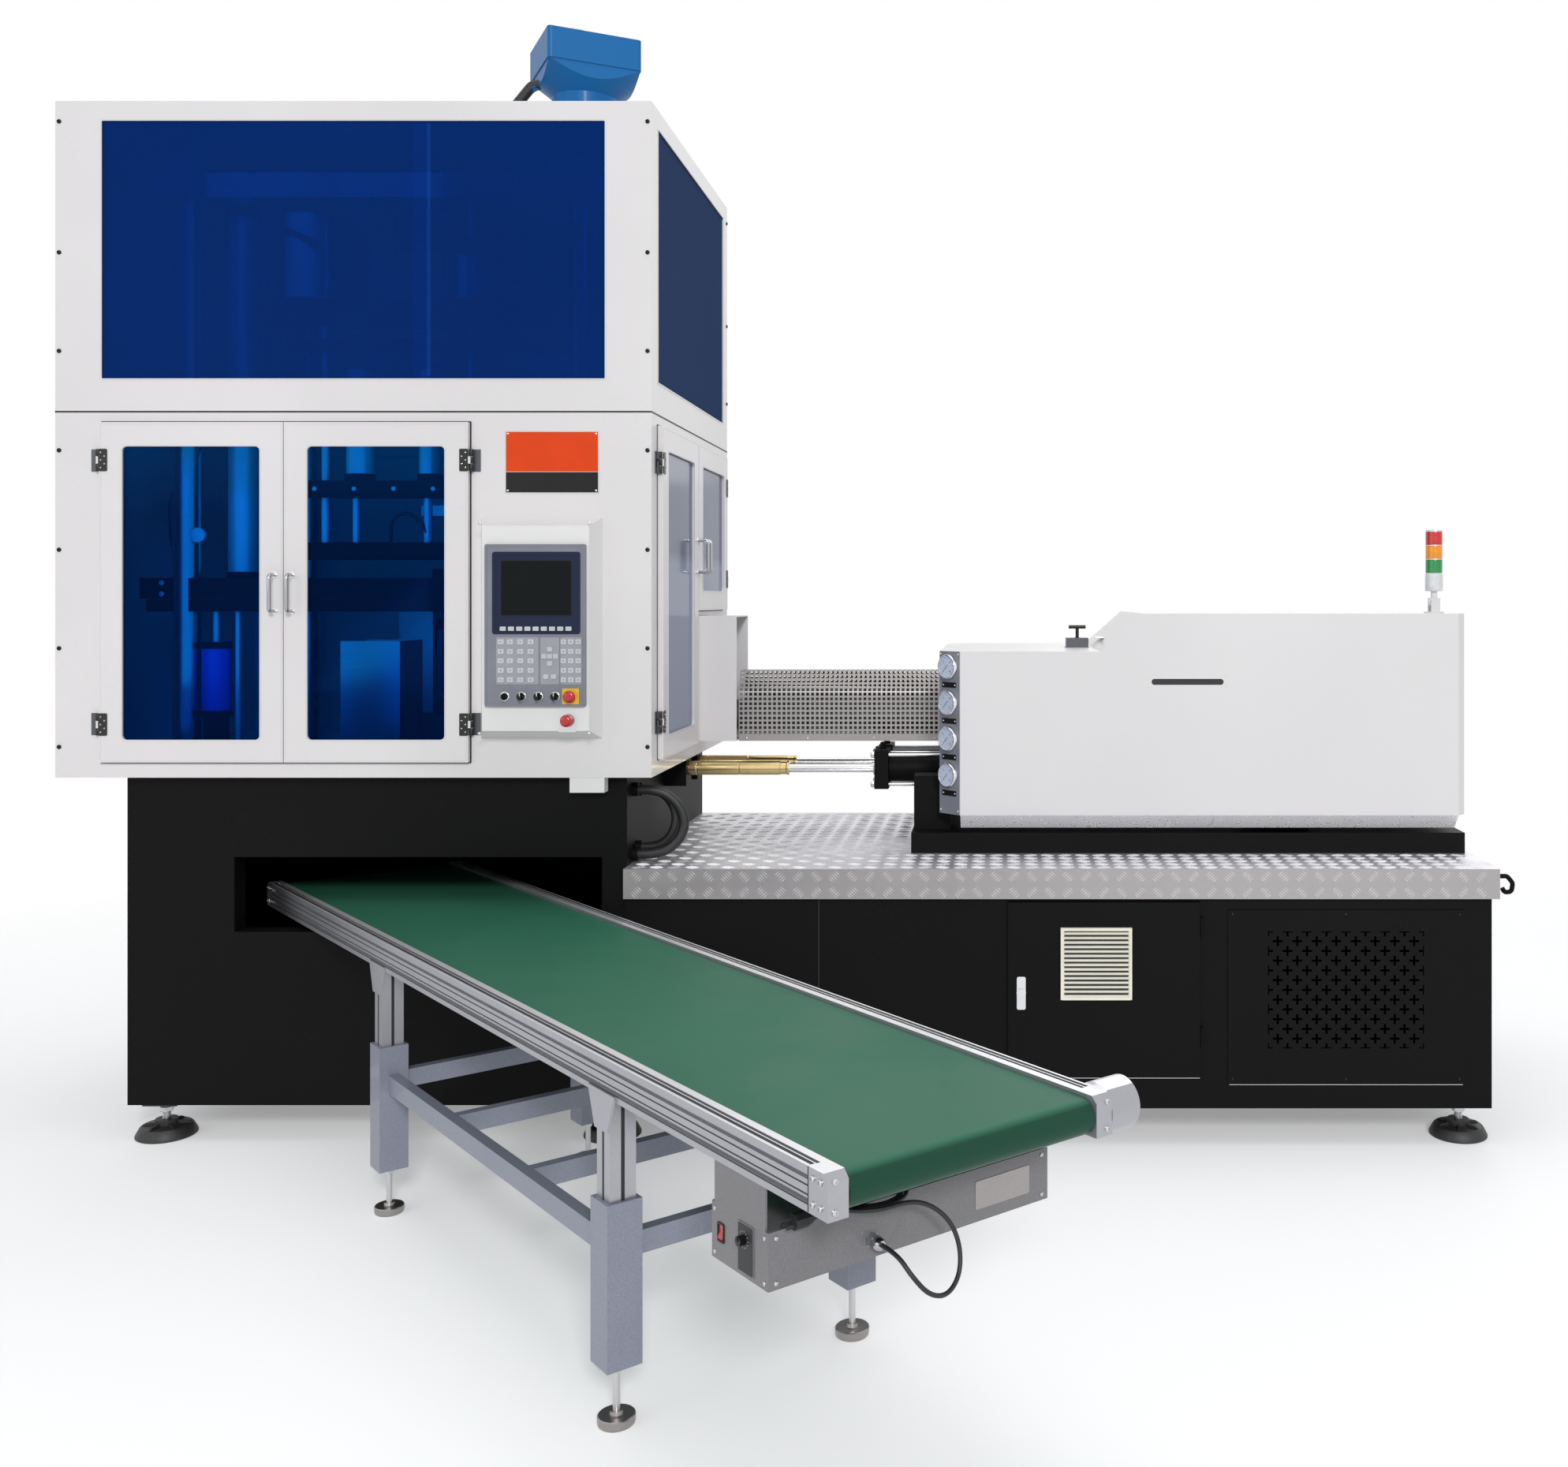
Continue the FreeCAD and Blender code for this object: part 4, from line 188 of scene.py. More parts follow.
class Shape:
    # Solids in one mesh. A place turns (across, depth, height) in millimetres into a point.
    def __init__(self):
        self.mesh = bmesh.new()

    def loft(self, rings, material=0, smooth=False, ends="capped"):
        rows = [[self.mesh.verts.new(p) for p in ring] for ring in rings]
        count, caps = len(rows[0]), [rows[0][::-1], rows[-1]]
        made = [(low[i], low[(i + 1) % count], high[(i + 1) % count], high[i])
                for low, high in zip(rows, rows[1:] + rows[:ends == "joined"])
                for i in range(count)]
        for corners in made + (caps if ends == "capped" else []):
            face = self.mesh.faces.new(corners)
            face.material_index, face.smooth = material, smooth and corners not in caps

    def box(self, x0, x1, y0, y1, z0, z1, material=0, place=at):
        corners = [(x0, y0), (x1, y0), (x1, y1), (x0, y1)]
        self.loft([[place(x, y, z) for x, y in corners] for z in (z0, z1)], material)

    def ring(self, box, radius, width, depths, material=0, place=at):
        # A flat ring round a rounded rectangle (left, right, bottom, top).
        x0, x1, z0, z1 = box
        outer = roundedLoop(x0, x1, z0, z1, radius)
        inner = roundedLoop(x0 + width, x1 - width, z0 + width, z1 - width, radius - width)
        v0, v1 = depths
        self.loft([[place(a, v0, b), place(a, v1, b), place(c, v1, d), place(c, v0, d)]
                   for (a, b), (c, d) in zip(outer, inner)], material, ends="joined")

    def plate(self, box, radius, depths, material=0, place=at):
        loop = roundedLoop(*box, radius)
        self.loft([[place(a, v, b) for a, b in loop] for v in depths], material)

    def turn(self, start, way, profile, material=0, segments=40):
        # Turned round its axis; profile holds (distance along the axis, radius).
        up = Vector(way).normalized()
        side = up.orthogonal().normalized()
        self.loft([circle(start + up * (a / 1000), side, up.cross(side), max(r, 0.02), segments)
                   for a, r in profile], material, segments > 6)

    def rod(self, start, way, length, radius, material=0, segments=40):
        self.turn(start, way, [(0, radius), (length, radius)], material, segments)

    def bar(self, path, bend, steps, radius, material=0, segments=16, place=at):
        # A round bar along a path with rounded corners, and with mitred rings.
        points = [place(*p) for p in corner(path, bend, steps)]
        rings, side = [], None
        for i, p in enumerate(points):
            before = (p - points[i - 1]).normalized() if i else None
            after = (points[i + 1] - p).normalized() if i + 1 < len(points) else None
            way = ((before or after) + (after or before)).normalized()
            side = side - way * side.dot(way) if side else way.orthogonal()
            side.normalize()
            rings.append(circle(p, side, way.cross(side), radius, segments))
        self.loft(rings, material, True)

    def piece(self, name, finishes, slot=None, body="root", bevel=0.0):
        bmesh.ops.recalc_face_normals(self.mesh, faces=self.mesh.faces)
        data = bpy.data.meshes.new(name)
        self.mesh.to_mesh(data)
        self.mesh.free()
        for key in finishes.split():
            data.materials.append(finish[key])
        data.set_sharp_from_angle(angle=math.radians(edges["sharp"]))
        made = linked(name, data)
        if bevel:
            edge = made.modifiers.new("edge", "BEVEL")
            edge.width, edge.segments, edge.limit_method = bevel / 1000, 2, "ANGLE"
            edge.angle_limit = math.radians(edges["bevelled"])
            made = settle(made)
        return hand(made, body)


def linked(name, data):
    made = bpy.data.objects.new(name, data)
    bpy.context.scene.collection.objects.link(made)
    return made


def evaluated(made):
    graph = bpy.context.evaluated_depsgraph_get()
    graph.update()
    return bpy.data.meshes.new_from_object(made.evaluated_get(graph))


def settle(made):
    # The evaluated result becomes a plain mesh and the modifiers go. A fresh object takes
    # it, because the old one would still hold its old evaluation.
    taken, name, source = evaluated(made), made.name, made.data
    made.modifiers.clear()
    bpy.data.objects.remove(made)
    bpy.data.meshes.remove(source)
    solid, data = bmesh.new(), bpy.data.meshes.new(name)
    solid.from_mesh(taken)
    solid.to_mesh(data)
    solid.free()
    for material in taken.materials:
        data.materials.append(material)
    bpy.data.meshes.remove(taken)
    return linked(name, data)


def hand(made, body):
    if body:
        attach(made, body)
    return made


def repeatTree():
    # Puts one unit on every point, turned and sized by the point's attributes.
    tree = bpy.data.node_groups.new("repeatUnit", "GeometryNodeTree")
    sockets = [tree.interface.new_socket(name, in_out=way, socket_type="NodeSocket" + kind)
               for name, way, kind in (
                   ("Geometry", "INPUT", "Geometry"), ("Unit", "INPUT", "Object"),
                   ("Material", "INPUT", "Material"), ("Merge distance", "INPUT", "Float"),
                   ("Geometry", "OUTPUT", "Geometry"))]
    new, link = tree.nodes.new, tree.links.new
    entry, end = new("NodeGroupInput"), new("NodeGroupOutput")
    info, onPoints, turn, size, real, weld, coat = (
        new("GeometryNode" + kind) for kind in (
            "ObjectInfo", "InstanceOnPoints", "InputNamedAttribute", "InputNamedAttribute",
            "RealizeInstances", "MergeByDistance", "SetMaterial"))
    for node, kind, name, socket in ((turn, "QUATERNION", "turn", "Rotation"),
                                     (size, "FLOAT_VECTOR", "size", "Scale")):
        node.data_type, node.inputs["Name"].default_value = kind, name
        source = next(s for s in node.outputs if s.enabled and s.name == "Attribute")
        link(source, onPoints.inputs[socket])
    for source, output, target, socket in (
            (entry, "Unit", info, "Object"), (entry, "Geometry", onPoints, "Points"),
            (info, "Geometry", onPoints, "Instance"), (onPoints, 0, real, 0),
            (real, 0, weld, 0), (entry, "Merge distance", weld, "Distance"),
            (weld, 0, coat, "Geometry"), (entry, "Material", coat, "Material"),
            (coat, 0, end, 0)):
        link(source.outputs[output], target.inputs[socket])
    return tree, [socket.identifier for socket in sockets[1:4]]


repeatUnit = repeatTree()


def repeated(name, unit, spots, material, body="root", merge=0.0):
    # Each spot is (point, way that the unit's Z faces, spin in degrees, size).
    tree, keys = repeatUnit
    data = bpy.data.meshes.new(name)
    data.from_pydata([spot[0] for spot in spots], [], [])
    data.attributes.new("turn", "QUATERNION", "POINT")
    data.attributes.new("size", "FLOAT_VECTOR", "POINT")
    turn, size = data.attributes["turn"], data.attributes["size"]
    for i, (_, way, spin, scale) in enumerate(spots):
        facing = Vector(way).to_track_quat("Z", "Y")
        turn.data[i].value = facing @ Quaternion((0, 0, 1), math.radians(spin))
        size.data[i].vector = scale if hasattr(scale, "__len__") else (scale,) * 3
    made = linked(name, data)
    repeat = made.modifiers.new("repeat", "NODES")
    repeat.node_group = tree
    for key, value in zip(keys, (units[unit], finish[material], merge)):
        repeat[key] = value
    made = settle(made)
    made.data.set_sharp_from_angle(angle=math.radians(edges["repeated"]))
    return hand(made, body)


def places(spots, way, scale=1.0, place=at):
    return [(place(*p), way, 0, scale) for p in spots]


def unitOf(shape, name):
    # A loose mesh for the repeats, at the origin; all units are removed at the end.
    units[name] = shape.piece(name, "", body=None)


def screwUnit(name, head, high):
    unit = Shape()
    unit.turn(Vector(), upward, [(-1, head), (high * 0.45, head), (high * 0.85, head * 0.8),
                                 (high, head * 0.5), (high * 0.4, head * 0.42),
                                 (high * 0.4, 0)], 0, 14)
    unitOf(unit, name)


def makeCamera():
    data = bpy.data.cameras.new("camera")
    data.lens = data.sensor_width * picture["focal"] / picture["across"]
    data.shift_x = (picture["across"] / 2 - picture["axisX"]) / picture["across"]
    data.shift_y = (picture["axisY"] - picture["up"] / 2) / picture["across"]
    camera = linked("camera", data)
    camera.location = at(*picture["eye"])
    camera.rotation_euler = (math.radians(90), 0, 0)
    bpy.context.scene.camera = camera


def cordCurve(name, points, diameter, material):
    curve = bpy.data.curves.new(name, "CURVE")
    curve.dimensions, curve.bevel_depth, curve.bevel_resolution = "3D", diameter / 2000, 4
    curve.resolution_u, curve.use_fill_caps = 6, True
    spline = curve.splines.new("NURBS")
    spline.points.add(len(points) - 1)
    for point, where in zip(spline.points, points):
        point.co = (*where, 1)
    spline.order_u, spline.use_endpoint_u = 3, True
    curve.materials.append(finish[material])
    return linked(name, curve)


mains = {"diameter": 9.0, "length": 1.935, "boxTop": 620.0, "coilAcross": 232.0,
         "coilNear": 138.0, "coilRadius": 84.0, "pitch": 10.4, "halfTurns": 5, "lift": 11.5,
         "plug": (100.0, 176.0, 634.3),
         "lead": [(222, 156, 550), (222, 110, 550), (232, 76, 516), (262, 64, 478),
                  (308, 70, 462), (348, 84, 484), (360, 98, 530), (348, 112, 576),
                  (314, 128, 610)]}


def mainsRoute():
    # Out of the gland, up over the box's edge, round the flat coil and over it to the plug.
    y, z, way = mains["coilNear"], mains["boxTop"] + mains["diameter"] / 2 + 0.3, 1
    cx, stretch = mains["coilAcross"], 1 / math.cos(math.radians(15))
    points = mains["lead"] + [(272, y, z)]
    for i in range(mains["halfTurns"]):
        r = mains["coilRadius"] - i * mains["pitch"] / 2
        for k in range(6):
            c, s = polar(15 + 30 * k, r * stretch)
            points.append((cx - way * s, y + way * (r - c), z))
        y, way = y + 2 * way * r, -way
    r -= mains["pitch"] / 2
    for i in range(6):
        c, s = polar(75 - 30 * i, r * stretch)
        points.append((cx + c, y - r + s, z + i * mains["lift"] / 6))
    low, high = y - 2 * r, z + mains["lift"]
    px, py, pz = mains["plug"]
    points += [(206, low, high), (172, low + 1, high + 1), (142, low + 4, high),
               (px + 12, py, pz), (px, py, pz)]
    return [onRow(*p) for p in points]


bedHose = {"diameter": 32.0, "start": (1818.0, 130.0, 1122.0), "lengths": (0.409, 0.336),
           "routes": ([(0, 0, 0), (60, 0, 0), (118, 6, -34), (150, 10, -92), (142, 8, -150),
                       (102, 0, -194), (52, -4, -210), (0, -4, -210)],
                      [(0, 52, -6), (46, 52, -6), (92, 50, -36), (116, 46, -88),
                       (108, 44, -140), (78, 46, -180), (40, 48, -196), (0, 48, -196)])}


def makeCords():
    lead = cordCurve("mains_cord", mainsRoute(), mains["diameter"], "blackRubber")
    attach(lead, "conveyor")
    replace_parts(lead, "power_cord", "cord_coil")
    onRow(*mains["lead"][0])
    x, y, z = bedHose["start"]
    for i, route in enumerate(bedHose["routes"]):
        points = [at(x + a, y + b, z + c) for a, b, c in route]
        hose = cordCurve("bed_hose_%d" % (i + 1), points, bedHose["diameter"], "hoseRubber")
        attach(hose, "root")
        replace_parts(hose, "bed_hoses")


def rgb(red, green, blue):
    # Screen colour 0-255 to the linear colour that the shader takes.
    return tuple((c / 255 / 12.92 if c < 10.5 else ((c / 255 + 0.055) / 1.055) ** 2.4)
                 for c in (red, green, blue))


def shade(colour, factor):
    return tuple(min(1.0, c * factor) for c in colour)


def enamel(name, colour, rough=0.4, dust=None, peel=0.06, coat=0.25, gloss=0.5):
    # Sprayed enamel: faint orange peel, soft clouds of tone and thin patchy dust.
    paint = Paint(name)
    clouds = paint.noise(1.7, 4)
    tone = paint.drift(paint.between(clouds, 0.35, 0.65), colour, 0.95)
    if dust:
        fine = paint.patches(0.5, 0.78, 46, 6, 0.7) * 0.22
        tone = paint.mix(fine * paint.patches(0.46, 0.7, 2.4, 4), tone, dust)
    return paint.set(Base_Color=tone,
                     Roughness=paint.between(clouds, 0.2, 0.9) * 0.1 + rough,
                     Coat_Weight=coat, Coat_Roughness=0.12, Specular_IOR_Level=gloss,
                     Normal=paint.bump(paint.noise(420, 2), peel, 0.0004))


def hammered(name, colour):
    # Speckled workshop paint with a coarse peel.
    paint = Paint(name)
    tone = paint.drift(paint.patches(0.42, 0.6, 330, 3, 0.7), colour, 0.86, 1.06)
    tone = paint.mix(paint.patches(0.52, 0.72, 3, 5) * 0.25, tone, shade(colour, 0.72))
    return paint.set(Base_Color=tone, Roughness=0.42, Coat_Weight=0.2,
                     Normal=paint.bump(paint.noise(240, 3), 0.25, 0.0005))


def metal(name, colour, rough, scale, lines, marks=0.0, stretch=(1, 1, 1), metallic=1.0,
          top=None):
    # Metal with drawn lines along the axis of the smallest stretch, and small marks.
    paint = Paint(name)
    grain = paint.node("Mapping", {}, {"Vector": paint.spot, "Scale": stretch})
    drawn = paint.noise(scale, 5, 0.65, grain)
    tone = paint.drift(paint.patches(0.35, 0.7, 3.5, 4), colour, 0.9)
    if marks:
        spots = paint.patches(0.58, 0.72, 34, 6, 0.75) * marks
        tone = paint.mix(spots, tone, shade(colour, 0.45))
    tone = paint.mix(drawn * 0.4, tone, shade(colour, 0.72))
    if top:  # Height in metres above which the metal is painted near white, a painted highlight on the top face.
        tone = paint.mix(paint.part("Z") > top, tone, (0.94, 0.94, 0.96))
    return paint.set(Base_Color=tone, Metallic=metallic,
                     Roughness=drawn * lines * 2 + (rough - lines),
                     Normal=paint.bump(drawn, lines, 0.0006))


def plastic(name, colour, rough=0.3, grain=0.05, coat=0.0, gloss=0.5):
    paint = Paint(name)
    fleck = paint.noise(9, 4)
    return paint.set(Base_Color=paint.drift(paint.between(fleck, 0.4, 0.65), colour, 0.92),
                     Roughness=fleck * 0.12 + (rough - 0.06), Coat_Weight=coat,
                     Specular_IOR_Level=gloss,
                     Normal=paint.bump(paint.noise(600, 2), grain, 0.0004))


def lens(name, colour):
    # Clear lens plastic.
    paint = Paint(name)
    cloud = paint.noise(30, 3)
    return paint.set(Base_Color=paint.drift(paint.between(cloud, 0.4, 0.6), colour, 0.9),
                     Roughness=cloud * 0.1 + 0.25, Coat_Weight=0.5)


def rubber(name, colour=(0.012, 0.012, 0.013), rough=0.62, ribs=0):
    paint = Paint(name)
    dust = paint.patches(0.5, 0.8, 60, 6, 0.7) * 0.3
    height = paint.noise(700, 3)
    if ribs:
        height = height * 0.3 + paint.wave(paint.spot, ribs, "Z", 1.5)
    return paint.set(Base_Color=paint.mix(dust, colour, (0.06, 0.06, 0.058)),
                     Roughness=dust * 0.4 + rough, Normal=paint.bump(height, 0.35, 0.0006))


def filmGlass(name, colour, tint, cover, fade, gloss, side=None):
    # Tinted film: part see-through in its own blue, part a dark face that drifts in tone.
    # fade is (start height, end height, share, colour); side colours the tower's right side.
    paint = Paint(name)
    height = paint.part("Z")
    cloud = paint.patches(0.3, 0.7, 0.9, 3)
    tone = paint.drift(cloud, colour, 0.9, 1.08)
    tone = paint.mix(paint.between(height, *fade[:2]) * fade[2], tone, fade[3])
    if side:
        tone = paint.mix(paint.part("X") > onSide(0, 10, 0).x, tone, side)
    paint.set(Base_Color=tone, Roughness=cloud * 0.04 + 0.1, Specular_IOR_Level=gloss)
    through = paint.node("BsdfTransparent", {}, {"Color": tint})
    both = paint.node("MixShader", {}, {0: cloud * 0.04 + cover, 1: through,
                                        2: Value(paint, paint.shader.outputs["BSDF"])})
    paint.feed(paint.tree.nodes["Material Output"].inputs["Surface"], both)
    return paint.material


def treadMetal(name, colour, edge, metallic, rough):
    # Rolled plate with swirls and a grey film; its folded front lip is darkened to the edge
    # colour as painted shade.
    paint = Paint(name)
    ground = paint.noise(160, 5, 0.7)
    film = paint.patches(0.42, 0.68, 5, 5, 0.6)
    # Painted shade: this mask marks the front lip, which is darkened to the edge colour.
    lip = paint.part("Y") < (tower["front"] + 1) / 1000
    tone = paint.mix(lip * 0.75, paint.drift(film * 0.5, colour, 1.0, 0.75), edge)
    return paint.set(Base_Color=tone, Metallic=metallic,
                     Roughness=ground * 0.22 + film * 0.12 + rough,
                     Normal=paint.bump(ground, 0.2, 0.0005))


def hoodEnamel(name, colour, edge):
    # Grey enamel above, a swirl-polished steel skirt below the given height.
    paint = Paint(name)
    steel = paint.part("Z") < edge
    swirl = paint.node("TexVoronoi", {"feature": "SMOOTH_F1"},
                       {"Vector": paint.spot, "Scale": 26}, "Distance")
    rings = swirl.do("SINE", swirl * 95) * 0.5 + 0.5
    tone = paint.mix(steel, paint.drift(paint.patches(0.35, 0.65, 1.2, 4), colour, 0.96),
                     paint.mix(rings * 0.6, (0.74, 0.74, 0.74), (0.98, 0.98, 0.98)))
    return paint.set(Base_Color=tone, Metallic=steel * 0.45,
                     Roughness=steel * (rings * 0.16 - 0.1) + 0.34,
                     Coat_Weight=(1 - steel) * 0.25,
                     Normal=paint.bump(paint.noise(420, 2), 0.05, 0.0004))


def beltRubber(name, colour):
    # Smooth green belt with a fine cross weave, rubbed lighter along the middle, and darkened
    # on its curved nose as painted shade.
    paint = Paint(name)
    turned = paint.node("Mapping", {"vector_type": "TEXTURE"}, {
        "Vector": paint.spot, "Location": onRow(0, 0, 0),
        "Rotation": (0, 0, math.radians(row["yaw"]))})
    across = paint.part("X", turned)
    weave = paint.wave(turned, 160, "X") * paint.wave(turned, 160, "Y")
    rub = paint.patches(0.45, 0.75, 2.2, 5, 0.6)
    worn = paint.between(across, 0.07, 0.2) * paint.between(across, 0.6, 0.46)
    # Painted shade: below the belt's top, where it curves round the nose, the green is
    # darkened.
    noseShade = paint.between(paint.part("Z"), 0.768, 0.761)
    tone = paint.drift(rub * worn * 0.25, colour, 1.0, 1.35)
    tone = paint.mix(weave * 0.12, tone, shade(colour, 0.7))
    tone = paint.mix(noseShade * 0.85, tone, shade(colour, 0.3))
    return paint.set(Base_Color=tone, Roughness=rub * 0.12 + 0.4, Coat_Weight=0.03,
                     Specular_IOR_Level=0.1, Normal=paint.bump(weave, 0.12, 0.0004))


def makeFinishes():
    along, up = (0.04, 1, 1), (1, 1, 0.05)
    bright, lilac = (0.66, 0.66, 0.67), rgb(168, 178, 200)
    finish.update({
        "white": enamel("enclosure_enamel", rgb(225, 221, 221), 0.42, rgb(190, 192, 190)),
        "frame": enamel("frame_enamel", rgb(214, 212, 214)),
        "box": enamel("switch_box_enamel", rgb(230, 228, 227), 0.38),
        "hood": hoodEnamel("hood_enamel", rgb(224, 221, 221), 1.0195),
        "black": enamel("base_enamel", rgb(11, 11, 12), 0.5, rgb(34, 33, 33), 0.3, 0.0, 0.1),
        "blue": enamel("cylinder_enamel", rgb(5, 104, 168), 0.42, rgb(12, 70, 120), 0.12,
                       0.06, 0.25),
        "blueBar": enamel("inner_blue", rgb(60, 84, 226)),
        "seal": rubber("seal_rubber"),
        "blackRubber": rubber("cord_rubber", rough=0.5),
        "hoseRubber": rubber("hose_rubber", rough=0.45, ribs=60),
        "padRubber": rubber("pad_iron", (0.02, 0.02, 0.021), 0.5),
        # The edge colours are painted shade on the deck's front lip.
        "tread": treadMetal("tread_ground", (0.7, 0.69, 0.73), (0.26, 0.24, 0.235), 0.8,
                            0.26),
        # The bars are painted near white as a painted highlight, so they read light at every
        # angle; their darker lip colour is painted shade.
        "treadBarsHighlit": treadMetal("tread_bars", (0.95, 0.95, 0.97), (0.66, 0.62, 0.61), 0.35,
                               0.16),
        "steel": metal("bright_steel", bright, 0.3, 120, 0.1, 0.25, along),
        "vertical": metal("drawn_steel", bright, 0.26, 140, 0.1, 0.2, up),
        "chrome": metal("polished_chrome", (0.86, 0.86, 0.87), 0.11, 60, 0.03),
        "handle": metal("handle_chrome", (0.46, 0.47, 0.49), 0.16, 60, 0.03),
        "gilt": metal("zinc_yellow", (0.78, 0.62, 0.30), 0.24, 80, 0.08, 0.3, along),
        "dark": metal("dark_steel", (0.10, 0.105, 0.12), 0.4, 60, 0.14, 0.4, metallic=0.8),
        "perforated": metal("perforated_steel", (0.38, 0.36, 0.35), 0.36, 110, 0.1, 0.2,
                            along),
        # The rail's top face is painted near white above its darker sides, a painted highlight.
        "rail": metal("rail_aluminium", (0.46, 0.46, 0.49), 0.34, 130, 0.06, 0.1,
                      metallic=0.7, top=0.7775),
        "cap": metal("cast_cap", (0.70, 0.71, 0.73), 0.42, 200, 0.08, 0.15, metallic=0.75),
        "bar": metal("inner_bars", (0.92, 0.93, 0.95), 0.3, 60, 0.05, 0, up, 0.4),
        "stand": hammered("stand_paint", rgb(134, 138, 153)),
        "rowBox": hammered("row_box_paint", rgb(116, 114, 117)),
        "belt": beltRubber("belt_rubber", rgb(53, 110, 87)),
        "topFilm": filmGlass("top_film", rgb(17, 54, 122), (0.05, 0.32, 0.85), 0.6,
                             (2.4, 3.3, 0.4, rgb(14, 58, 130)), 0.0, rgb(72, 92, 126)),
        "doorFilm": filmGlass("door_film", rgb(6, 38, 84), (0.06, 0.56, 0.96), 0.2,
                              (2.0, 2.3, 0.5, rgb(18, 96, 158)), 0.03),
        "sideFilm": filmGlass("side_film", rgb(120, 128, 150), (0.2, 0.5, 0.9), 0.8,
                              (1.9, 1.86, 0.7, lilac), 0.1)})
    for key, name, colour, rough, settings in (
            ("cream", "louvre_plastic", (236, 232, 214), 0.4, {}),
            ("grey", "key_film", (158, 158, 166), 0.42, {"grain": 0.1}),
            ("bezel", "bezel_plastic", (126, 128, 138), 0.4, {"grain": 0.12}),
            ("key", "key_caps", (196, 196, 200), 0.4, {"grain": 0.08}),
            ("navy", "screen_frame", (34, 42, 66), 0.35, {"gloss": 0.15}),
            ("screen", "screen_glass", (14, 19, 20), 0.12, {"grain": 0.0, "gloss": 0.12}),
            ("ink", "print_ink", (32, 32, 36), 0.5, {}),
            ("paleInk", "pale_print", (222, 224, 228), 0.45, {}),
            ("red", "red_plastic", (196, 28, 34), 0.28, {"coat": 0.4}),
            ("yellow", "yellow_plate", (238, 190, 34), 0.35, {}),
            ("orange", "plate_orange", (226, 70, 20), 0.36, {"gloss": 0.2}),
            ("gloss", "black_plastic", (16, 16, 18), 0.3, {"gloss": 0.3}),
            ("hinge", "hinge_black", (40, 42, 38), 0.4, {"gloss": 0.3}),
            ("dialWhite", "dial_face", (196, 204, 224), 0.45, {"gloss": 0.2})):
        finish[key] = plastic(name, rgb(*colour), rough, **settings)
    for key, name, colour in (("redLens", "red_lens", (206, 30, 34)),
                              ("amberLens", "amber_lens", (244, 150, 20)),
                              ("greenLens", "green_lens", (16, 142, 66)),
                              ("whiteLens", "white_body", (228, 230, 230))):
        finish[key] = lens(name, rgb(*colour))


nodeFinish = {
    "white": "upper_panels lower_panels door_front_left door_front_right door_side_front"
             " door_side_rear",
    "frame": "enclosure_frame", "box": "control_box", "hood": "hood",
    "black": "base_frame cabinet_frame vent_panel cabinet_door injection_bed"
             " carriage_saddle carriage_cylinders",
    "tread": "deck_plate", "topFilm": "upper_windows",
    "doorFilm": "pane_front_left pane_front_right",
    "sideFilm": "pane_side_front pane_side_rear",
    "bezel": "control_panel", "cream": "door_louvre", "chrome": "door_lock",
    "vertical": "clamp_frame stretch_unit", "blue": "top_cylinder",
    "dark": "rotary_table core_plate blow_station injection_unit hinge_brackets",
    "steel": "injection_mould blow_mould_left blow_mould_right eject_chute drive_roller"
             " tail_roller",
    "stand": "conveyor_stand", "rowBox": "conveyor_box", "rail": "conveyor_frame",
    "gilt": "carriage_rods", "padRubber": "levelling_feet", "belt": "conveyor_belt",
    "perforated": "barrel_guard", "seal": "plug power_cord cord_coil bed_hoses",
    "red": "stop_button_panel stop_button_box rocker_switch",
    "gloss": "selector_left selector_middle selector_right speed_knob key_switch",
    "whiteLens": "tower_light", "grey": "gauge_panel"}


def paintNodes():
    for key, names in nodeFinish.items():
        for name in names.split():
            node = bpy.data.objects[name]
            if not node.material_slots:
                node.data.materials.append(finish[key])
            for slot in node.material_slots:
                slot.material = finish[key]


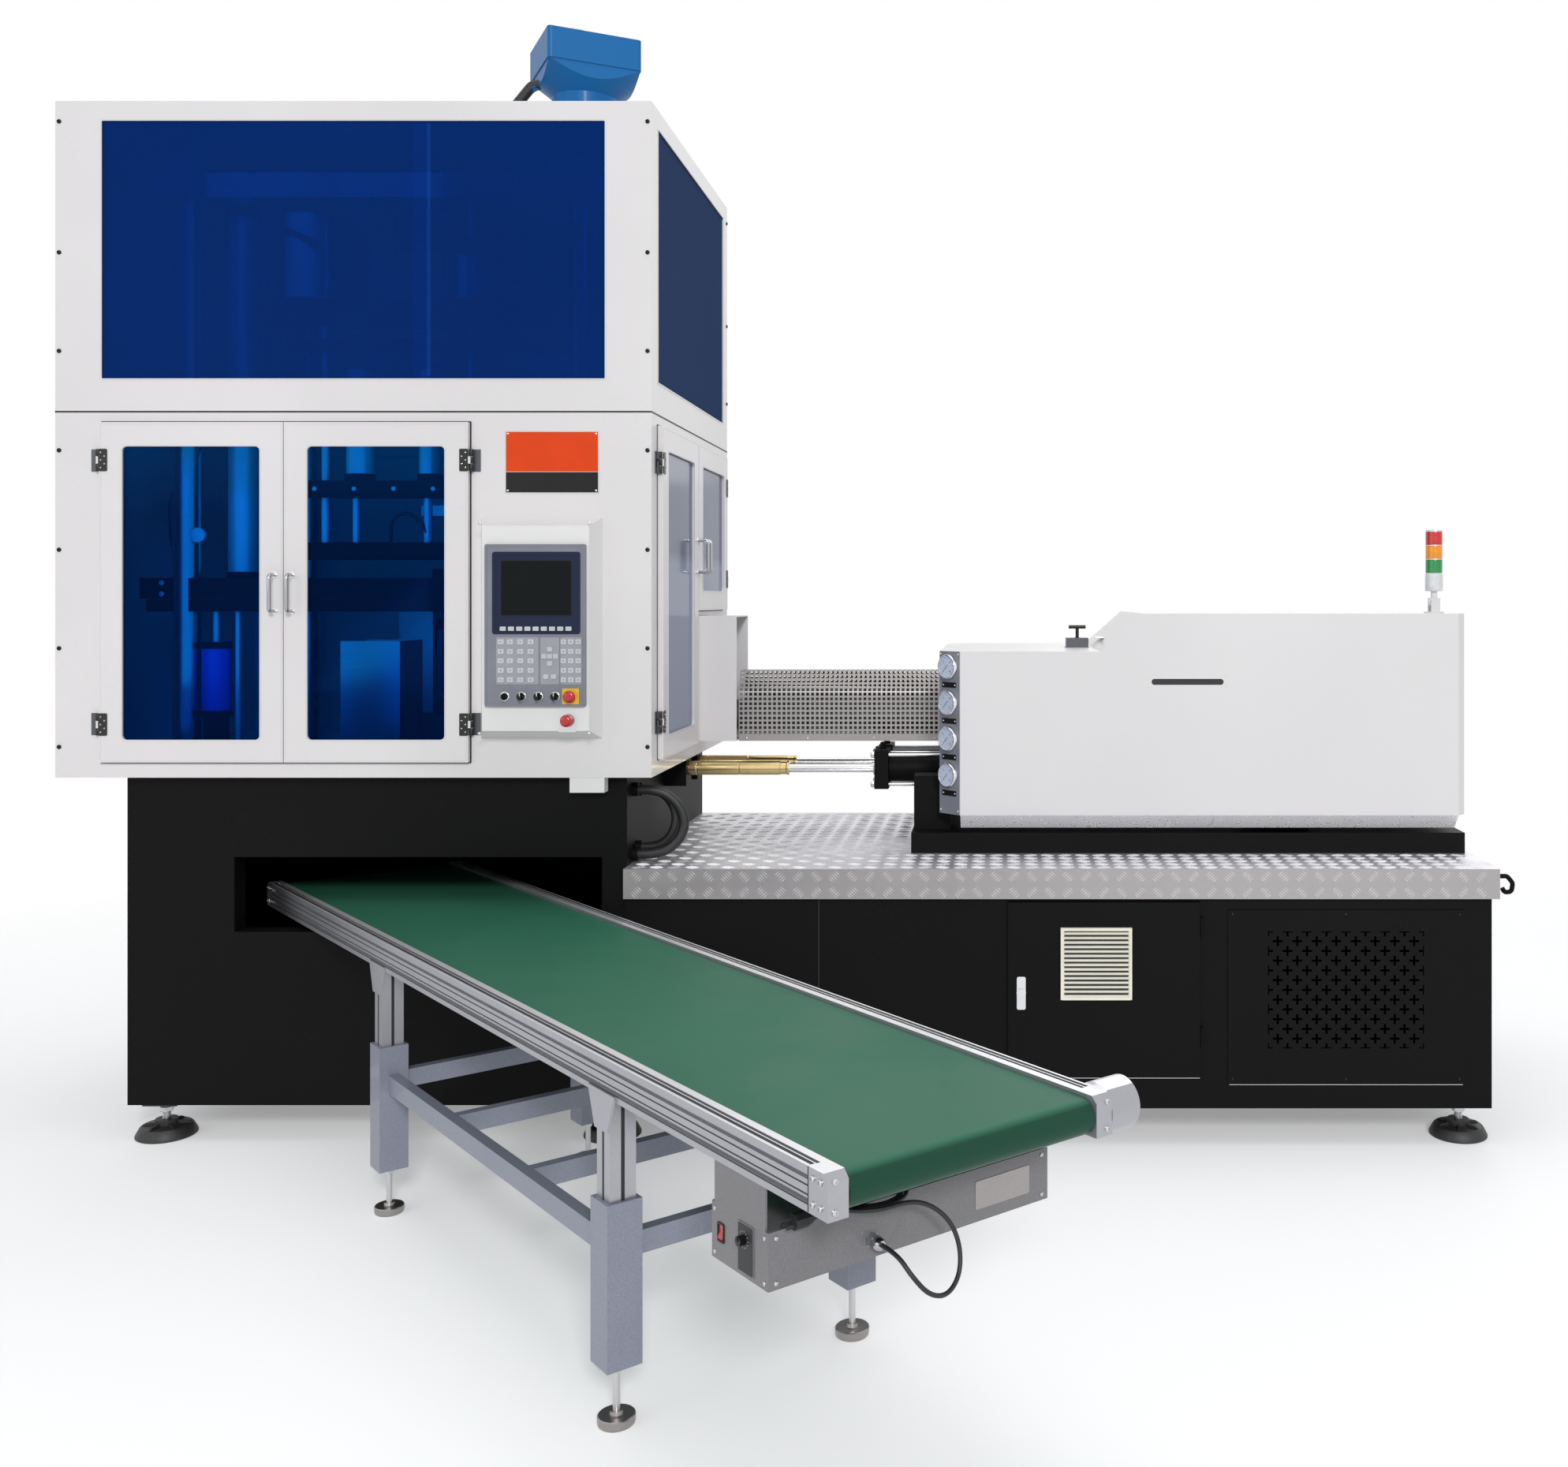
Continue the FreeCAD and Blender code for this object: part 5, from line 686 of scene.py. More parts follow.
def makeTower():
    # Bolts, seam, blank nameplate and the fine edges round windows and doors.
    wide, deep, seam = tower["wide"], tower["deep"], tower["seam"]
    bolts = {"x": (12.5, 1877.5), "z": (3255, 2840, 2527.5, 2212.5, 1897.5, 1585, 1272.5),
             "rearColumn": 1307}
    repeated("tower_bolts", "button_head",
             places(product(bolts["x"], [0], bolts["z"]), front)
             + places(product(bolts["x"], [deep], bolts["z"]), back)
             + places(product([wide], [bolts["rearColumn"]], bolts["z"][:3]), right),
             "gloss")
    shape = Shape()
    for x0, x1, y0, y1 in ((0, wide, -0.9, 0.5), (0, wide, deep - 0.5, deep + 0.9),
                           (-0.9, 0.5, 0, deep), (wide - 0.5, wide + 0.9, 0, deep)):
        shape.box(x0, x1, y0, y1, seam - 2.5, seam + 2.5)
    shape.piece("tower_seam", "seal", "black_rubber")
    plate = {"box": (1425, 1725, 2075, 2275), "rim": 4, "rivet": 10, "split": 2145}
    x0, x1, z0, z1 = plate["box"]
    rim, rivet, split = plate["rim"], plate["rivet"], plate["split"]
    shape = Shape()
    shape.plate(plate["box"], 5, (0.2, -1.4))
    shape.box(x0 + rim, x1 - rim, -1.9, -1.2, split, z1 - rim, 1)
    shape.box(x0 + rim, x1 - rim, -1.9, -1.2, z0 + rim, split - 1.5, 2)
    shape.piece("blank_nameplate", "steel orange gloss", "red_plastic", bevel=0.4)
    repeated("nameplate_rivets", "small_head",
             places(product((x0 + rivet, x1 - rivet), [-1.8], (z0 + rivet, z1 - rivet)),
                    front), "steel")
    rings = {
        "window_edges": ("frame", None, 8, 5, -1.6, [
            ((143, 1747, 2435.5, 3262), at), ((86, 1234, 2435.5, 3262), onSide)]),
        "door_gaps": ("seal", "black_rubber", 3, 4.5, -1.5, [
            ((145.5, 1319.5, 1220.5, 2304.5), at), ((75.5, 653, 1220.5, 2304.5), onSide),
            ((648, 1224.5, 1695.5, 2304.5), onSide)])}
    for name, (material, slot, radius, width, proud, boxes) in rings.items():
        shape = Shape()
        for box, place in boxes:
            shape.ring(box, radius, width, (0.3, proud), 0, place)
        shape.piece(name, material, slot)


def makeDeck():
    # Rolled tread plate: groups of five parallel bars, crossed in turn.
    tread = {"pitch": 57.0, "x": (1842, 4560), "y": (30, 1240), "z": 885, "lip": (811, 861),
             "hood": (2670, 4590, 275, 1206), "bars": 5, "gap": 8.6, "half": 19.0,
             "wide": 2.4, "high": 1.5, "endLength": 0.82, "lipScale": 0.86}
    unit, last = Shape(), tread["bars"] - 1
    for k in range(tread["bars"]):
        y = (k - last / 2) * tread["gap"]
        h = tread["half"] * (tread["endLength"] if k in (0, last) else 1)
        ends = [(-h, y), (0, y - tread["wide"]), (h, y), (0, y + tread["wide"])]
        unit.loft([[loose(a, b, -0.2) for a, b in ends],
                   [loose(a * 0.8, y + (b - y) * 0.4, tread["high"]) for a, b in ends]])
    unitOf(unit, "tread_bars")
    p, (x0, x1), (y0, y1), hood = tread["pitch"], tread["x"], tread["y"], tread["hood"]
    spots = []
    for i in range(int((x1 - x0) // p) + 1):
        x = x0 + i * p
        for k in range(int((y1 - y0) // p) + 1):
            y = y0 + k * p
            if not (hood[0] < x < hood[1] and hood[2] < y < hood[3]):
                spots.append((at(x, y, tread["z"]), upward, 45 if (i + k) % 2 else -45, 1))
        for k, z in enumerate(tread["lip"]):
            spots.append((at(x, 0, z), front, 45 if (i + k) % 2 else -45,
                          tread["lipScale"]))
    # The bars take the near-white finish, a painted highlight.
    repeated("deck_leaves", "tread_bars", spots, "treadBarsHighlit")


def makeGuard():
    # Perforated sheet: one punched cell repeated over the folded outline.
    guard = {"x": (2052.0, 2790.0), "y": 740, "half": 79, "cell": 17.2, "hole": 10.4,
             "thick": 2.0, "screws": (2080, 2300, 2540, 2760),
             "outline": [(80, 1252), (80, 1407), (40, 1482), (-40, 1482), (-80, 1407),
                         (-80, 1252)]}
    unit, edge, hole = Shape(), guard["cell"] / 2, guard["hole"] / 2
    unit.loft([[loose(x * h, y * h, z) for x, y in ((1, 1), (-1, 1), (-1, -1), (1, -1))]
               for h, z in ((edge, 0), (hole, 0), (hole, -guard["thick"]),
                            (edge, -guard["thick"]))], ends="open")
    unitOf(unit, "guard_cell")
    (x0, x1), middle, cell = guard["x"], guard["y"], guard["cell"]
    columns, spots = round((x1 - x0) / cell), []
    wide = (x1 - x0) / columns
    for (ya, za), (yb, zb) in zip(guard["outline"], guard["outline"][1:]):
        run = math.hypot(yb - ya, zb - za)
        rows = round(run / cell)
        for k in range(rows):
            t = (k + 0.5) / rows
            y, z = middle + ya + (yb - ya) * t, za + (zb - za) * t
            spots += [(at(x0 + (i + 0.5) * wide, y, z), (0, zb - za, ya - yb), 0,
                       (wide / cell, run / rows / cell, 1)) for i in range(columns)]
    made = repeated("guard_sheet", "guard_cell", spots, "perforated",
                    "carriage", 0.0003)
    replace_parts(made, "barrel_guard")
    shape = Shape()
    for y in (middle - guard["half"], middle + guard["half"]):
        shape.box(x0, x1, y - 1.2, y + 1.2, 1230, 1252.5)
    shape.piece("guard_flanges", "perforated", "perforated_steel", "carriage")
    bands = {"first": 2062, "pitch": 81, "count": 9, "z": 1320, "radius": 67, "wide": 71,
             "rearSheet": (808, 811, 1254, 1404)}
    shape = Shape()
    shape.box(x0 + 2, x1 - 2, *bands["rearSheet"])
    for x in range(bands["first"], bands["first"] + bands["pitch"] * bands["count"],
                   bands["pitch"]):
        r, w = bands["radius"], bands["wide"]
        shape.turn(at(x, middle, bands["z"]), right, [(0, r - 5), (1, r), (w - 1, r),
                                                      (w, r - 5)])
        shape.box(x + 22, x + 50, middle - 18, middle + 18, 1384, 1412, 1)
    shape.piece("heater_bands", "dark gloss", "perforated_steel", "carriage", 0.5)
    repeated("guard_screws", "small_head",
             places(product(guard["screws"], [659.5], [1240]), front)
             + places(product(guard["screws"], [820.5], [1240]), back),
             "steel", "carriage")


def makeDoors():
    # Window edges, grips and hinges of the four door leaves.
    leaves = {
        "front_left": (lambda u, v, z: at(142 + u, -12 + v, z), 581, 1225, 1760, front),
        "front_right": (lambda u, v, z: at(1323 - u, -12 + v, z), 581, 1225, 1760, front),
        "side_front": (lambda u, v, z: onSide(72 + u, v - 12, z), 568.5, 1225, 1895, right),
        "side_rear": (lambda u, v, z: onSide(1228 - u, v - 12, z), 568.5, 1700, 1895,
                      right)}
    door = {"head": 2300, "stile": 72, "low": 70, "high": 75, "radius": 18, "bar": 5.95,
            "grip": 57, "stand": -46, "hinge": 120}
    for name, (place, wide, sill, grip, way) in leaves.items():
        shape, body, head, stile = Shape(), "leaf_" + name, door["head"], door["stile"]
        shape.ring((5 + stile, 11 + wide - stile, sill + door["low"] - 3,
                    head - door["high"] + 3), door["radius"], 5, (-7.8, -9.0), 1, place)
        shape.ring((13, 3 + wide, sill + 5, head - 5), 3, 1.6, (-7.9, -8.5), 1, place)
        u, low, high = wide - 18, grip - door["grip"], grip + door["grip"]
        shape.bar([(u, -7, low), (u, door["stand"], low), (u, door["stand"], high),
                   (u, -7, high)], 13, 6, door["bar"], 3, 20, place)
        for z in (low, high):
            shape.turn(place(u, -8, z), way, [(0, 10), (2.5, 10), (4, 8), (4, 5)], 0, 28)
        spots = []
        for z in (sill + door["hinge"], head - door["hinge"]):
            for start, end in ((-35, -11.9), (-11.4, 11.4), (11.9, 35)):
                shape.turn(place(0, 0, z + start), upward,
                           [(0, 6.2), (0.8, 6.7), (end - start - 0.8, 6.7),
                            (end - start, 6.2)], 2, 24)
            shape.plate((7, 34.5, z - 35.3, z + 35.3), 3, (-7.5, -10.7), 2, place)
            spots += places([(15, -10.7, z - 24), (15, -10.7, z), (15, -10.7, z + 24),
                             (27, -10.7, z - 12), (27, -10.7, z + 12)], way, 0.8, place)
        shape.piece("door_trim_" + name, "chrome frame hinge handle", "chrome", body)
        repeated("hinge_screws_" + name, "small_head", spots, "handle", body)


def makeControl():
    # Key film, screen and switches on the box left of the side doors.
    panel = {"bezel": (1392, 1706, 1407, 1912), "face": -92, "frame": (1416, 1690, 1632, 1888),
             "screen": (1442, 1664, 1688, 1862), "keyRows": (1608, 1578, 1549, 1519, 1490),
             "letters": (1443, 1472, 1504, 1536), "digits": (1638, 1661, 1684),
             "cross": (1595, 1563), "stopZ": 1438, "boxStop": (1646, -80, 1362)}
    f, stopZ, rows = panel["face"], panel["stopZ"], panel["keyRows"]
    letters, digits = panel["letters"], panel["digits"]
    shape = Shape()
    shape.ring(panel["bezel"], 10, 7, (f + 0.5, f - 1.6), 0)
    shape.ring(panel["frame"], 8, 12, (f + 0.5, f - 2.2), 1)
    shape.ring(panel["screen"], 4, 3, (f - 1.0, f - 2.0), 2)
    for x0, x1, z0, z1, deep, proud, material in (
            (1424, 1682, 1640, 1880, -0.6, 1.2, 1), (1445, 1661, 1691, 1859, 0.9, 1.5, 3),
            (1634, 1686, 1414, 1463, -0.2, 1.2, 5), (1618, 1674, 1326, 1396, -12.3, -11, 6)):
        shape.box(x0, x1, f - proud, f - deep, z0, z1, material)
    for x0, x1 in ((1428, 1560), (1566, 1624), (1628, 1694)):
        shape.plate((x0, x1, 1476, 1622), 5, (f + 0.4, f - 0.5), 4)
    shape.piece("panel_face", "bezel navy gloss screen grey yellow steel", "panel_grey",
                bevel=0.5)
    loop = roundedLoop(-10, 10, -8.5, 8.5, 2.5, 3)
    unit = Shape()
    unit.loft([[loose(a * s, b * s, z) for a, b in loop]
               for s, z in ((1, 0), (1, 1.6), (0.92, 2.6))])
    unitOf(unit, "key_cap")
    x, z = panel["cross"]
    cross = [(x + a, f - 0.4, z + b) for a, b in ((0, 22), (-18, 0), (18, 0), (0, -22),
                                                  (0, 0))]
    spots = places(product(letters, [f - 0.4], rows), front, (0.98, 0.98, 1))
    spots += places(product(digits, [f - 0.4], rows), front, (0.88, 0.98, 1))
    spots += places(cross, front, (0.82, 0.9, 1))
    spots += places(product((x - 12, x + 12), [f - 0.4], [1500]), front, (0.85, 0.9, 1))
    spots += places([(1450 + 25.5 * i, f - 2.0, 1649) for i in range(9)], front,
                    (0.95, 0.8, 1))
    repeated("panel_keys", "key_cap", spots, "key")
    unit = Shape()
    unit.box(-3.4, 3.4, -0.7, 0.7, 0, 0.3, 0, loose)
    unitOf(unit, "key_mark")
    spots = [(at(a, f - 3.0, b), front, 90 * ((i + k) % 2), (0.7, 1.2, 1))
             for k, b in enumerate(rows) for i, a in enumerate(letters + digits)]
    repeated("key_marks", "key_mark", spots, "ink")
    repeated("box_screws", "button_head",
             places(product((1372, 1714), [-80], (1322, 1978)), front, 0.7),
             "steel")
    for node, body, x, y, z in (("stop_button_panel", "panel_stop", 1659, f, stopZ),
                                ("stop_button_box", "box_stop", *panel["boxStop"])):
        shape = Shape()
        shape.turn(at(x, y, z), front, [(0, 15.5), (3, 15.5), (4.5, 14), (4.5, 9)], 0, 36)
        shape.piece(node + "_collar", "chrome", "chrome")
        shape = Shape()
        shape.turn(at(x, y + 5, z), front,
                   [(0, 7.5), (14, 7.5), (15, 14), (16, 18), (18.5, 19), (21, 18.8),
                    (24, 17.4), (26.5, 14.5), (28, 10), (28.4, 5), (28.5, 0)], 0, 48)
        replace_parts(shape.piece(node + "_head", "red", "red_plastic", body), node)
    for node, body, x in (("selector_left", "left_selector", 1507),
                          ("selector_middle", "middle_selector", 1560),
                          ("selector_right", "right_selector", 1612), ("key", None, 1455)):
        shape = Shape()
        shape.turn(at(x, f, stopZ), front, [(0, 14.5), (2.5, 14.5), (3.5, 13), (3.5, 9.6)],
                   0, 36)
        shape.piece(node + "_ring", "chrome", "chrome")
        if body:
            shape = Shape()
            shape.box(x - 1.2, x + 1.2, f - 21.4, f - 20.6, stopZ + 2, stopZ + 12)
            shape.piece(node + "_line", "paleInk", "black_plastic", body)


def makeLamps():
    # Signal tower: base, three lenses and a cap, each with its own ring.
    lamp = {"spot": (4490, 420, 1730), "steps": (100, 148, 196, 244), "ribs": 20, "rib": 2.1}
    x, y, z = lamp["spot"]
    spot, shape = at(x, y, z), Shape()
    shape.turn(at(x, y - 14.7, z), back, [(0, 15), (1.2, 17), (28.2, 17), (29.4, 15)], 0, 36)
    shape.turn(spot, upward, [(12, 11), (40, 11)], 0, 28)
    shape.turn(spot, upward, [(38, 24), (40, 29), (42, 30), (99, 30), (100, 28.5)], 0, 48)
    for k, (low, high) in enumerate(zip(lamp["steps"], lamp["steps"][1:])):
        ribs = [(low + 3 + i * lamp["rib"], 28 + 0.5 * (i % 2)) for i in range(lamp["ribs"])]
        shape.turn(spot, upward, [(low + 1, 27)] + ribs + [(high - 1, 27)], k + 1, 48)
        shape.turn(spot, upward, [(high - 1.5, 29), (high + 1.5, 29)], 4, 48)
        shape.turn(spot, upward, [(low + 8, 9), (high - 10, 9), (high - 6, 4)], 4, 20)
    shape.turn(spot, upward, [(244, 29), (249, 28), (251.5, 24), (252, 18)], 0, 48)
    made = shape.piece("signal_lamps", "whiteLens greenLens amberLens redLens cap",
                       "lamp_plastic", "tower")
    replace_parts(made, "tower_light")


diagonal = 0.70711


def slant(a, v, z):
    # Across, depth and height on the hood's slanted gauge strip.
    return at(2826 + (a + v) * diagonal, 286 + (v - a) * diagonal, z)


def makeGauges():
    gauge = {"z": (1514, 1393, 1272, 1151), "scale": (0, 10, 20, 30), "start": 225,
             "figure": 7.5, "figureRadius": 21.5, "needle": 222}
    way = Vector((-diagonal, -diagonal, 0))
    across = Vector((diagonal, -diagonal, 0))
    shape = Shape()
    shape.plate((-47.5, 47.5, 1020, 1566), 2, (0, -3), 0, slant)

    def ray(degrees):
        c, s = polar(degrees)
        return across * c + Vector((0, 0, s)), Vector((0, 0, c)) - across * s

    for z in gauge["z"]:
        centre = slant(0, -3, z)
        for profile, material, segments in (
                ([(0, 39), (0.5, 41.6), (12, 42), (14.5, 41.2), (16, 39.4), (16, 38),
                  (12, 36.6), (11.5, 36.4)], 1, 56),
                ([(6, 36.4), (12.3, 36.4)], 2, 56),
                ([(12, 3.2), (14.6, 3.2), (15, 2.4)], 1, 20)):
            shape.turn(centre, way, profile, material, segments)
        for k in range(28):
            side, turn = ray(gauge["start"] - k * 10)
            start, (inner, half) = centre + way * 0.0125, (30, 0.3) if k % 3 else (27, 0.6)
            shape.loft([[start + (side * (r + e) + turn * w) / 1000 for e, w in
                         ((0, half), (0, -half), (0.01, -half), (0.01, half))]
                        for r in (inner, 33.5)], 3)
        side, turn = ray(gauge["needle"])
        shape.loft([[centre + (way * d + side * a + turn * b) / 1000
                     for a, b in ((-8, -1.1), (24, 0), (-8, 1.1))] for d in (13.4, 14)], 3)
        shape.plate((-34, 34, z - 70, z - 52), 2, (-2.9, -4.2), 4, slant)
        for a in (-28, 28):
            shape.turn(slant(a, -4.2, z - 61), way, [(0, 3.2), (1, 2.6), (1.4, 1.4)], 1, 16)
    plate = shape.piece("gauge_strip", "bezel chrome dialWhite ink gloss", "bright_steel",
                        "carriage")
    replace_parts(plate, "gauge_panel")
    facing = Matrix((across, upward, across.cross(Vector(upward)))).transposed().to_4x4()
    for i, z in enumerate(gauge["z"]):
        for k, value in enumerate(gauge["scale"]):
            a, b = polar(gauge["start"] - k * 90, gauge["figureRadius"])
            curve = bpy.data.curves.new("gauge_number", "FONT")
            curve.body, curve.size = str(value), gauge["figure"] / 1000
            curve.align_x = curve.align_y = "CENTER"
            text = linked("gauge_number", curve)
            data = evaluated(text)
            bpy.data.objects.remove(text)
            data.transform(Matrix.Translation(slant(a, -15.7, z + b)) @ facing)
            data.materials.append(finish["ink"])
            hand(linked("gauge_number_%d_%d" % (i, k), data), "carriage")
    repeated("gauge_screws", "small_head",
             places(product((-42, 42), [-3], (1032, 1556)), way, 1, slant),
             "steel", "carriage")


def makeHood():
    # Sight slot and throat screw of the hood, then its travel cylinders and their rods.
    shape = Shape()
    shape.plate((3500, 3740, 1454, 1476), 10, (253.9, 250.2), 1)
    shape.box(3340, 3464, 640, 840, 1600, 1602)
    shape.piece("hood_lines", "steel seal", "bright_steel", "carriage", 0.3)
    repeated("hood_screws", "small_head",
             places(product((3492, 3748), [250], (1447, 1483)), front, 0.6),
             "steel", "carriage")
    shape = Shape()
    shape.turn(at(3275, 720, 1598), upward, [(0, 11), (3, 11), (3, 6.2), (41, 6.2)], 0, 20)
    shape.turn(at(3244, 720, 1640), right, [(0, 5), (1, 6.4), (61, 6.4), (62, 5)], 0, 20)
    shape.box(3243, 3307, 700, 740, 1570, 1594)
    shape.piece("throat_screw", "gloss", "chrome", "carriage")
    travel = {"y": (640, 840), "z": 1135, "bolts": 52, "flanges": (2548, 3250), "half": 68}
    z, b, h = travel["z"], travel["bolts"], travel["half"]
    body, rods = Shape(), Shape()
    for y in travel["y"]:
        body.turn(at(2598, y, z), right, [(0, 47), (0.5, 48), (651, 48), (652, 47)], 0, 56)
        for x in travel["flanges"]:
            body.box(x, x + 50, y - h, y + h, z - h, z + 70)
        for across, up in product((-b, b), (-b, b)):
            body.turn(at(2534, y + across, z + up), right,
                      [(0, 8), (0.8, 9), (14, 9), (14.2, 6.5), (765, 6.5), (766, 6)], 1, 24)
            body.rod(at(2536, y + across, z + up), right, 11, 13, 1, 6)
        body.turn(at(2573, y, z + h), upward, [(0, 13), (10, 13), (10, 10), (24, 10)], 0, 6)
        body.rod(at(2540, y, z), right, 8, 24, 1)
        rods.box(1800, 1876, y - 45, y + 45, z - 60, z + 38, 2)
        grooves = [(d + e, r) for d in (30, 180) for e, r in ((0, 25), (1, 23.6), (4, 23.6),
                                                              (5, 25))]
        rods.turn(at(1876, y, z), right, [(0, 25)] + grooves + [
            (330, 25), (331, 23), (352, 23), (354, 25), (362, 25), (362, 16)], 0, 48)
        rods.turn(at(2236, y, z), right, [(0, 16), (710, 16), (712, 15)], 1, 40)
    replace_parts(body.piece("travel_cylinders", "black steel", "base_black", "carriage", 1.2),
                "carriage_cylinders")
    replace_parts(rods.piece("travel_rods", "gilt chrome black", "gilt_and_chrome", bevel=0.8),
                "carriage_rods")


def makeFeet():
    # Round pads, spindles and nuts under the machine, and the conveyor's own feet.
    feet = {"x": (285, 1735, 4484), "y": (125, 1175), "threads": 26, "thread": 2, "ribs": 6}
    shape = Shape()
    for x, y in product(feet["x"], feet["y"]):
        for z, profile, material, segments in (
                (0, [(0, 88), (3, 92), (8, 92), (30, 80), (34, 76), (35, 40), (38, 34),
                     (54, 34), (54, 30)], 0, 56),
                (52, [(0, 12), (54, 12)], 1, 28),
                (78, [(0, 19), (1.5, 21), (14.5, 21), (16, 19)], 1, 6)):
            shape.turn(at(x, y, z), upward, profile, material, segments)
        for k in range(feet["threads"]):
            shape.turn(at(x, y, 54 + k * feet["thread"]), upward,
                       [(0, 11.6), (1, 12.6), (2, 11.6)], 1, 20)
        shape.box(x - 55, x + 55, y - 45, y + 45, 106, 120)
        for k in range(feet["ribs"]):
            c, s = polar(15 + 60 * k)
            shape.loft([[at(x + c * u - s * v, y + s * u + c * v, z) for u, v, z in
                         ((24, -h, z0), (end, -h, z1), (end, h, z1), (24, h, z0))]
                        for end, h, z0, z1 in ((80, 4, 30, 30), (62, 3, 46, 42))])
    for across, along in row["legs"]:
        spot = onRow(across, along, 0)
        shape.turn(spot, upward, [(0, 36), (3, 39), (8, 40), (20, 40), (22, 38), (22.5, 15),
                                  (30, 13), (30, 8.5)], 2, 48)
        shape.turn(spot, upward, [(28, 8), (130, 8)], 1, 24)
        shape.turn(spot, upward, [(112, 13), (126, 13)], 1, 6)
    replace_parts(shape.piece("round_feet", "padRubber steel perforated", "base_black"),
                "levelling_feet")


def makeCabinet():
    # Vent sheet, louvre, lock, seams and lifting hooks of the black cabinet.
    vent = {"box": (3720, 4470, 200, 752), "face": 16, "thick": 4, "pitch": 62, "columns": 8,
            "rows": 6, "long": 16, "short": 3.5, "lift": 22}
    x0, x1, z0, z1 = vent["box"]
    y, thick, pitch = vent["face"], vent["thick"], vent["pitch"]
    cx, cz = (x0 + x1) / 2, (z0 + z1) / 2 + vent["lift"]
    wide, high = vent["columns"] * pitch / 2, vent["rows"] * pitch / 2
    shape = Shape()
    for box in ((x0, cx - wide, z0, z1), (cx + wide, x1, z0, z1),
                (cx - wide, cx + wide, z0, cz - high), (cx - wide, cx + wide, cz + high, z1)):
        shape.box(box[0], box[1], y, y + thick, box[2], box[3])
    unit, h, l, s = Shape(), pitch / 4, vent["long"], vent["short"]
    # A quarter-turned cell: a plus-shaped hole in the middle and half ones at its corners.
    for a in range(4):
        spin = Matrix.Rotation(math.radians(90 * a), 3, "Z")
        for outline in ([(s, s), (l, s), (2 * h, s), (2 * h, 2 * h - l),
                         (2 * h - s, 2 * h - l), (2 * h - s, 2 * h - s),
                         (2 * h - l, 2 * h - s), (2 * h - l, 2 * h), (s, 2 * h), (s, l)],
                        [(l, -s), (2 * h, -s), (2 * h, s), (l, s)]):
            unit.loft([[spin @ loose(a, b, z) for a, b in outline] for z in (0, -thick)])
    unitOf(unit, "vent_cell")
    made = repeated("vent_holes", "vent_cell",
                    places([(cx - wide + (i + 0.5) * pitch, y, cz - high + (k + 0.5) * pitch)
                            for i in range(vent["columns"]) for k in range(vent["rows"])],
                           front), "black")
    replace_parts(made, "vent_panel")
    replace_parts(shape.piece("vent_sheet", "black", "base_black"), "vent_panel")
    repeated("vent_screws", "button_head",
             places(product((3734, 4095, 4456), [y], (214, 738)), front, 0.7),
             "gloss")
    shape = Shape()
    louvre = {"box": (3187, 3413, 471, 699), "first": 488, "pitch": 14.2, "slats": 15,
              "high": 5.4}
    shape.ring((3020, 3630, 222, 778), 4, 5, (6.2, 5.7))
    # Black strips painted over the gaps of the louvre, as painted shade between its slats.
    for k in range(louvre["slats"]):
        z = louvre["first"] + k * louvre["pitch"]
        shape.box(3199, 3401, -5.6, -4.0, z, z + louvre["high"], 2)
    shape.ring(louvre["box"], 8, 9, (-3.8, -6.4), 1)
    shape.piece("cabinet_door_trim", "black cream seal", "base_black", "cabinet_door_body",
                0.5)
    shape = Shape()
    shape.turn(at(3062, 6.2, 492), front, [(0, 15), (2.5, 15), (4, 12.5), (4, 8.4)], 0, 32)
    shape.piece("lock_ring", "chrome", "chrome", "cabinet_door_body")
    shape = Shape()
    for x0, x1, y0, y1, z0, z1, material in (
            (2416.8, 2419.2, 18.9, 20.3, 124, 786, 0), (1804, 4556, 18.8, 20.3, 786, 789, 0),
            # Bright steel strips along the bottom edges of the door and the vent: worn bare
            # edges, with a painted highlight.
            (3020, 3630, 15.4, 19.6, 217, 218.8, 1), (3724, 4466, 15.4, 19.6, 196, 197.8, 1)):
        shape.box(x0, x1, y0, y1, z0, z1, material)
    shape.piece("cabinet_seams", "seal steel", "black_rubber")
    hook = {"y": (60, 1210), "radius": 7.5, "bend": 16,
            "path": ((4582, 852), (4622, 852), (4640, 830), (4636, 802), (4614, 800),
                     (4606, 814))}
    shape = Shape()
    for y in hook["y"]:
        shape.box(4580, 4585, y - 26, y + 26, 838, 872)
        shape.bar([(x, y, z) for x, z in hook["path"]], hook["bend"], 5, hook["radius"])
    shape.piece("lifting_hooks", "black", "base_black", bevel=0.8)


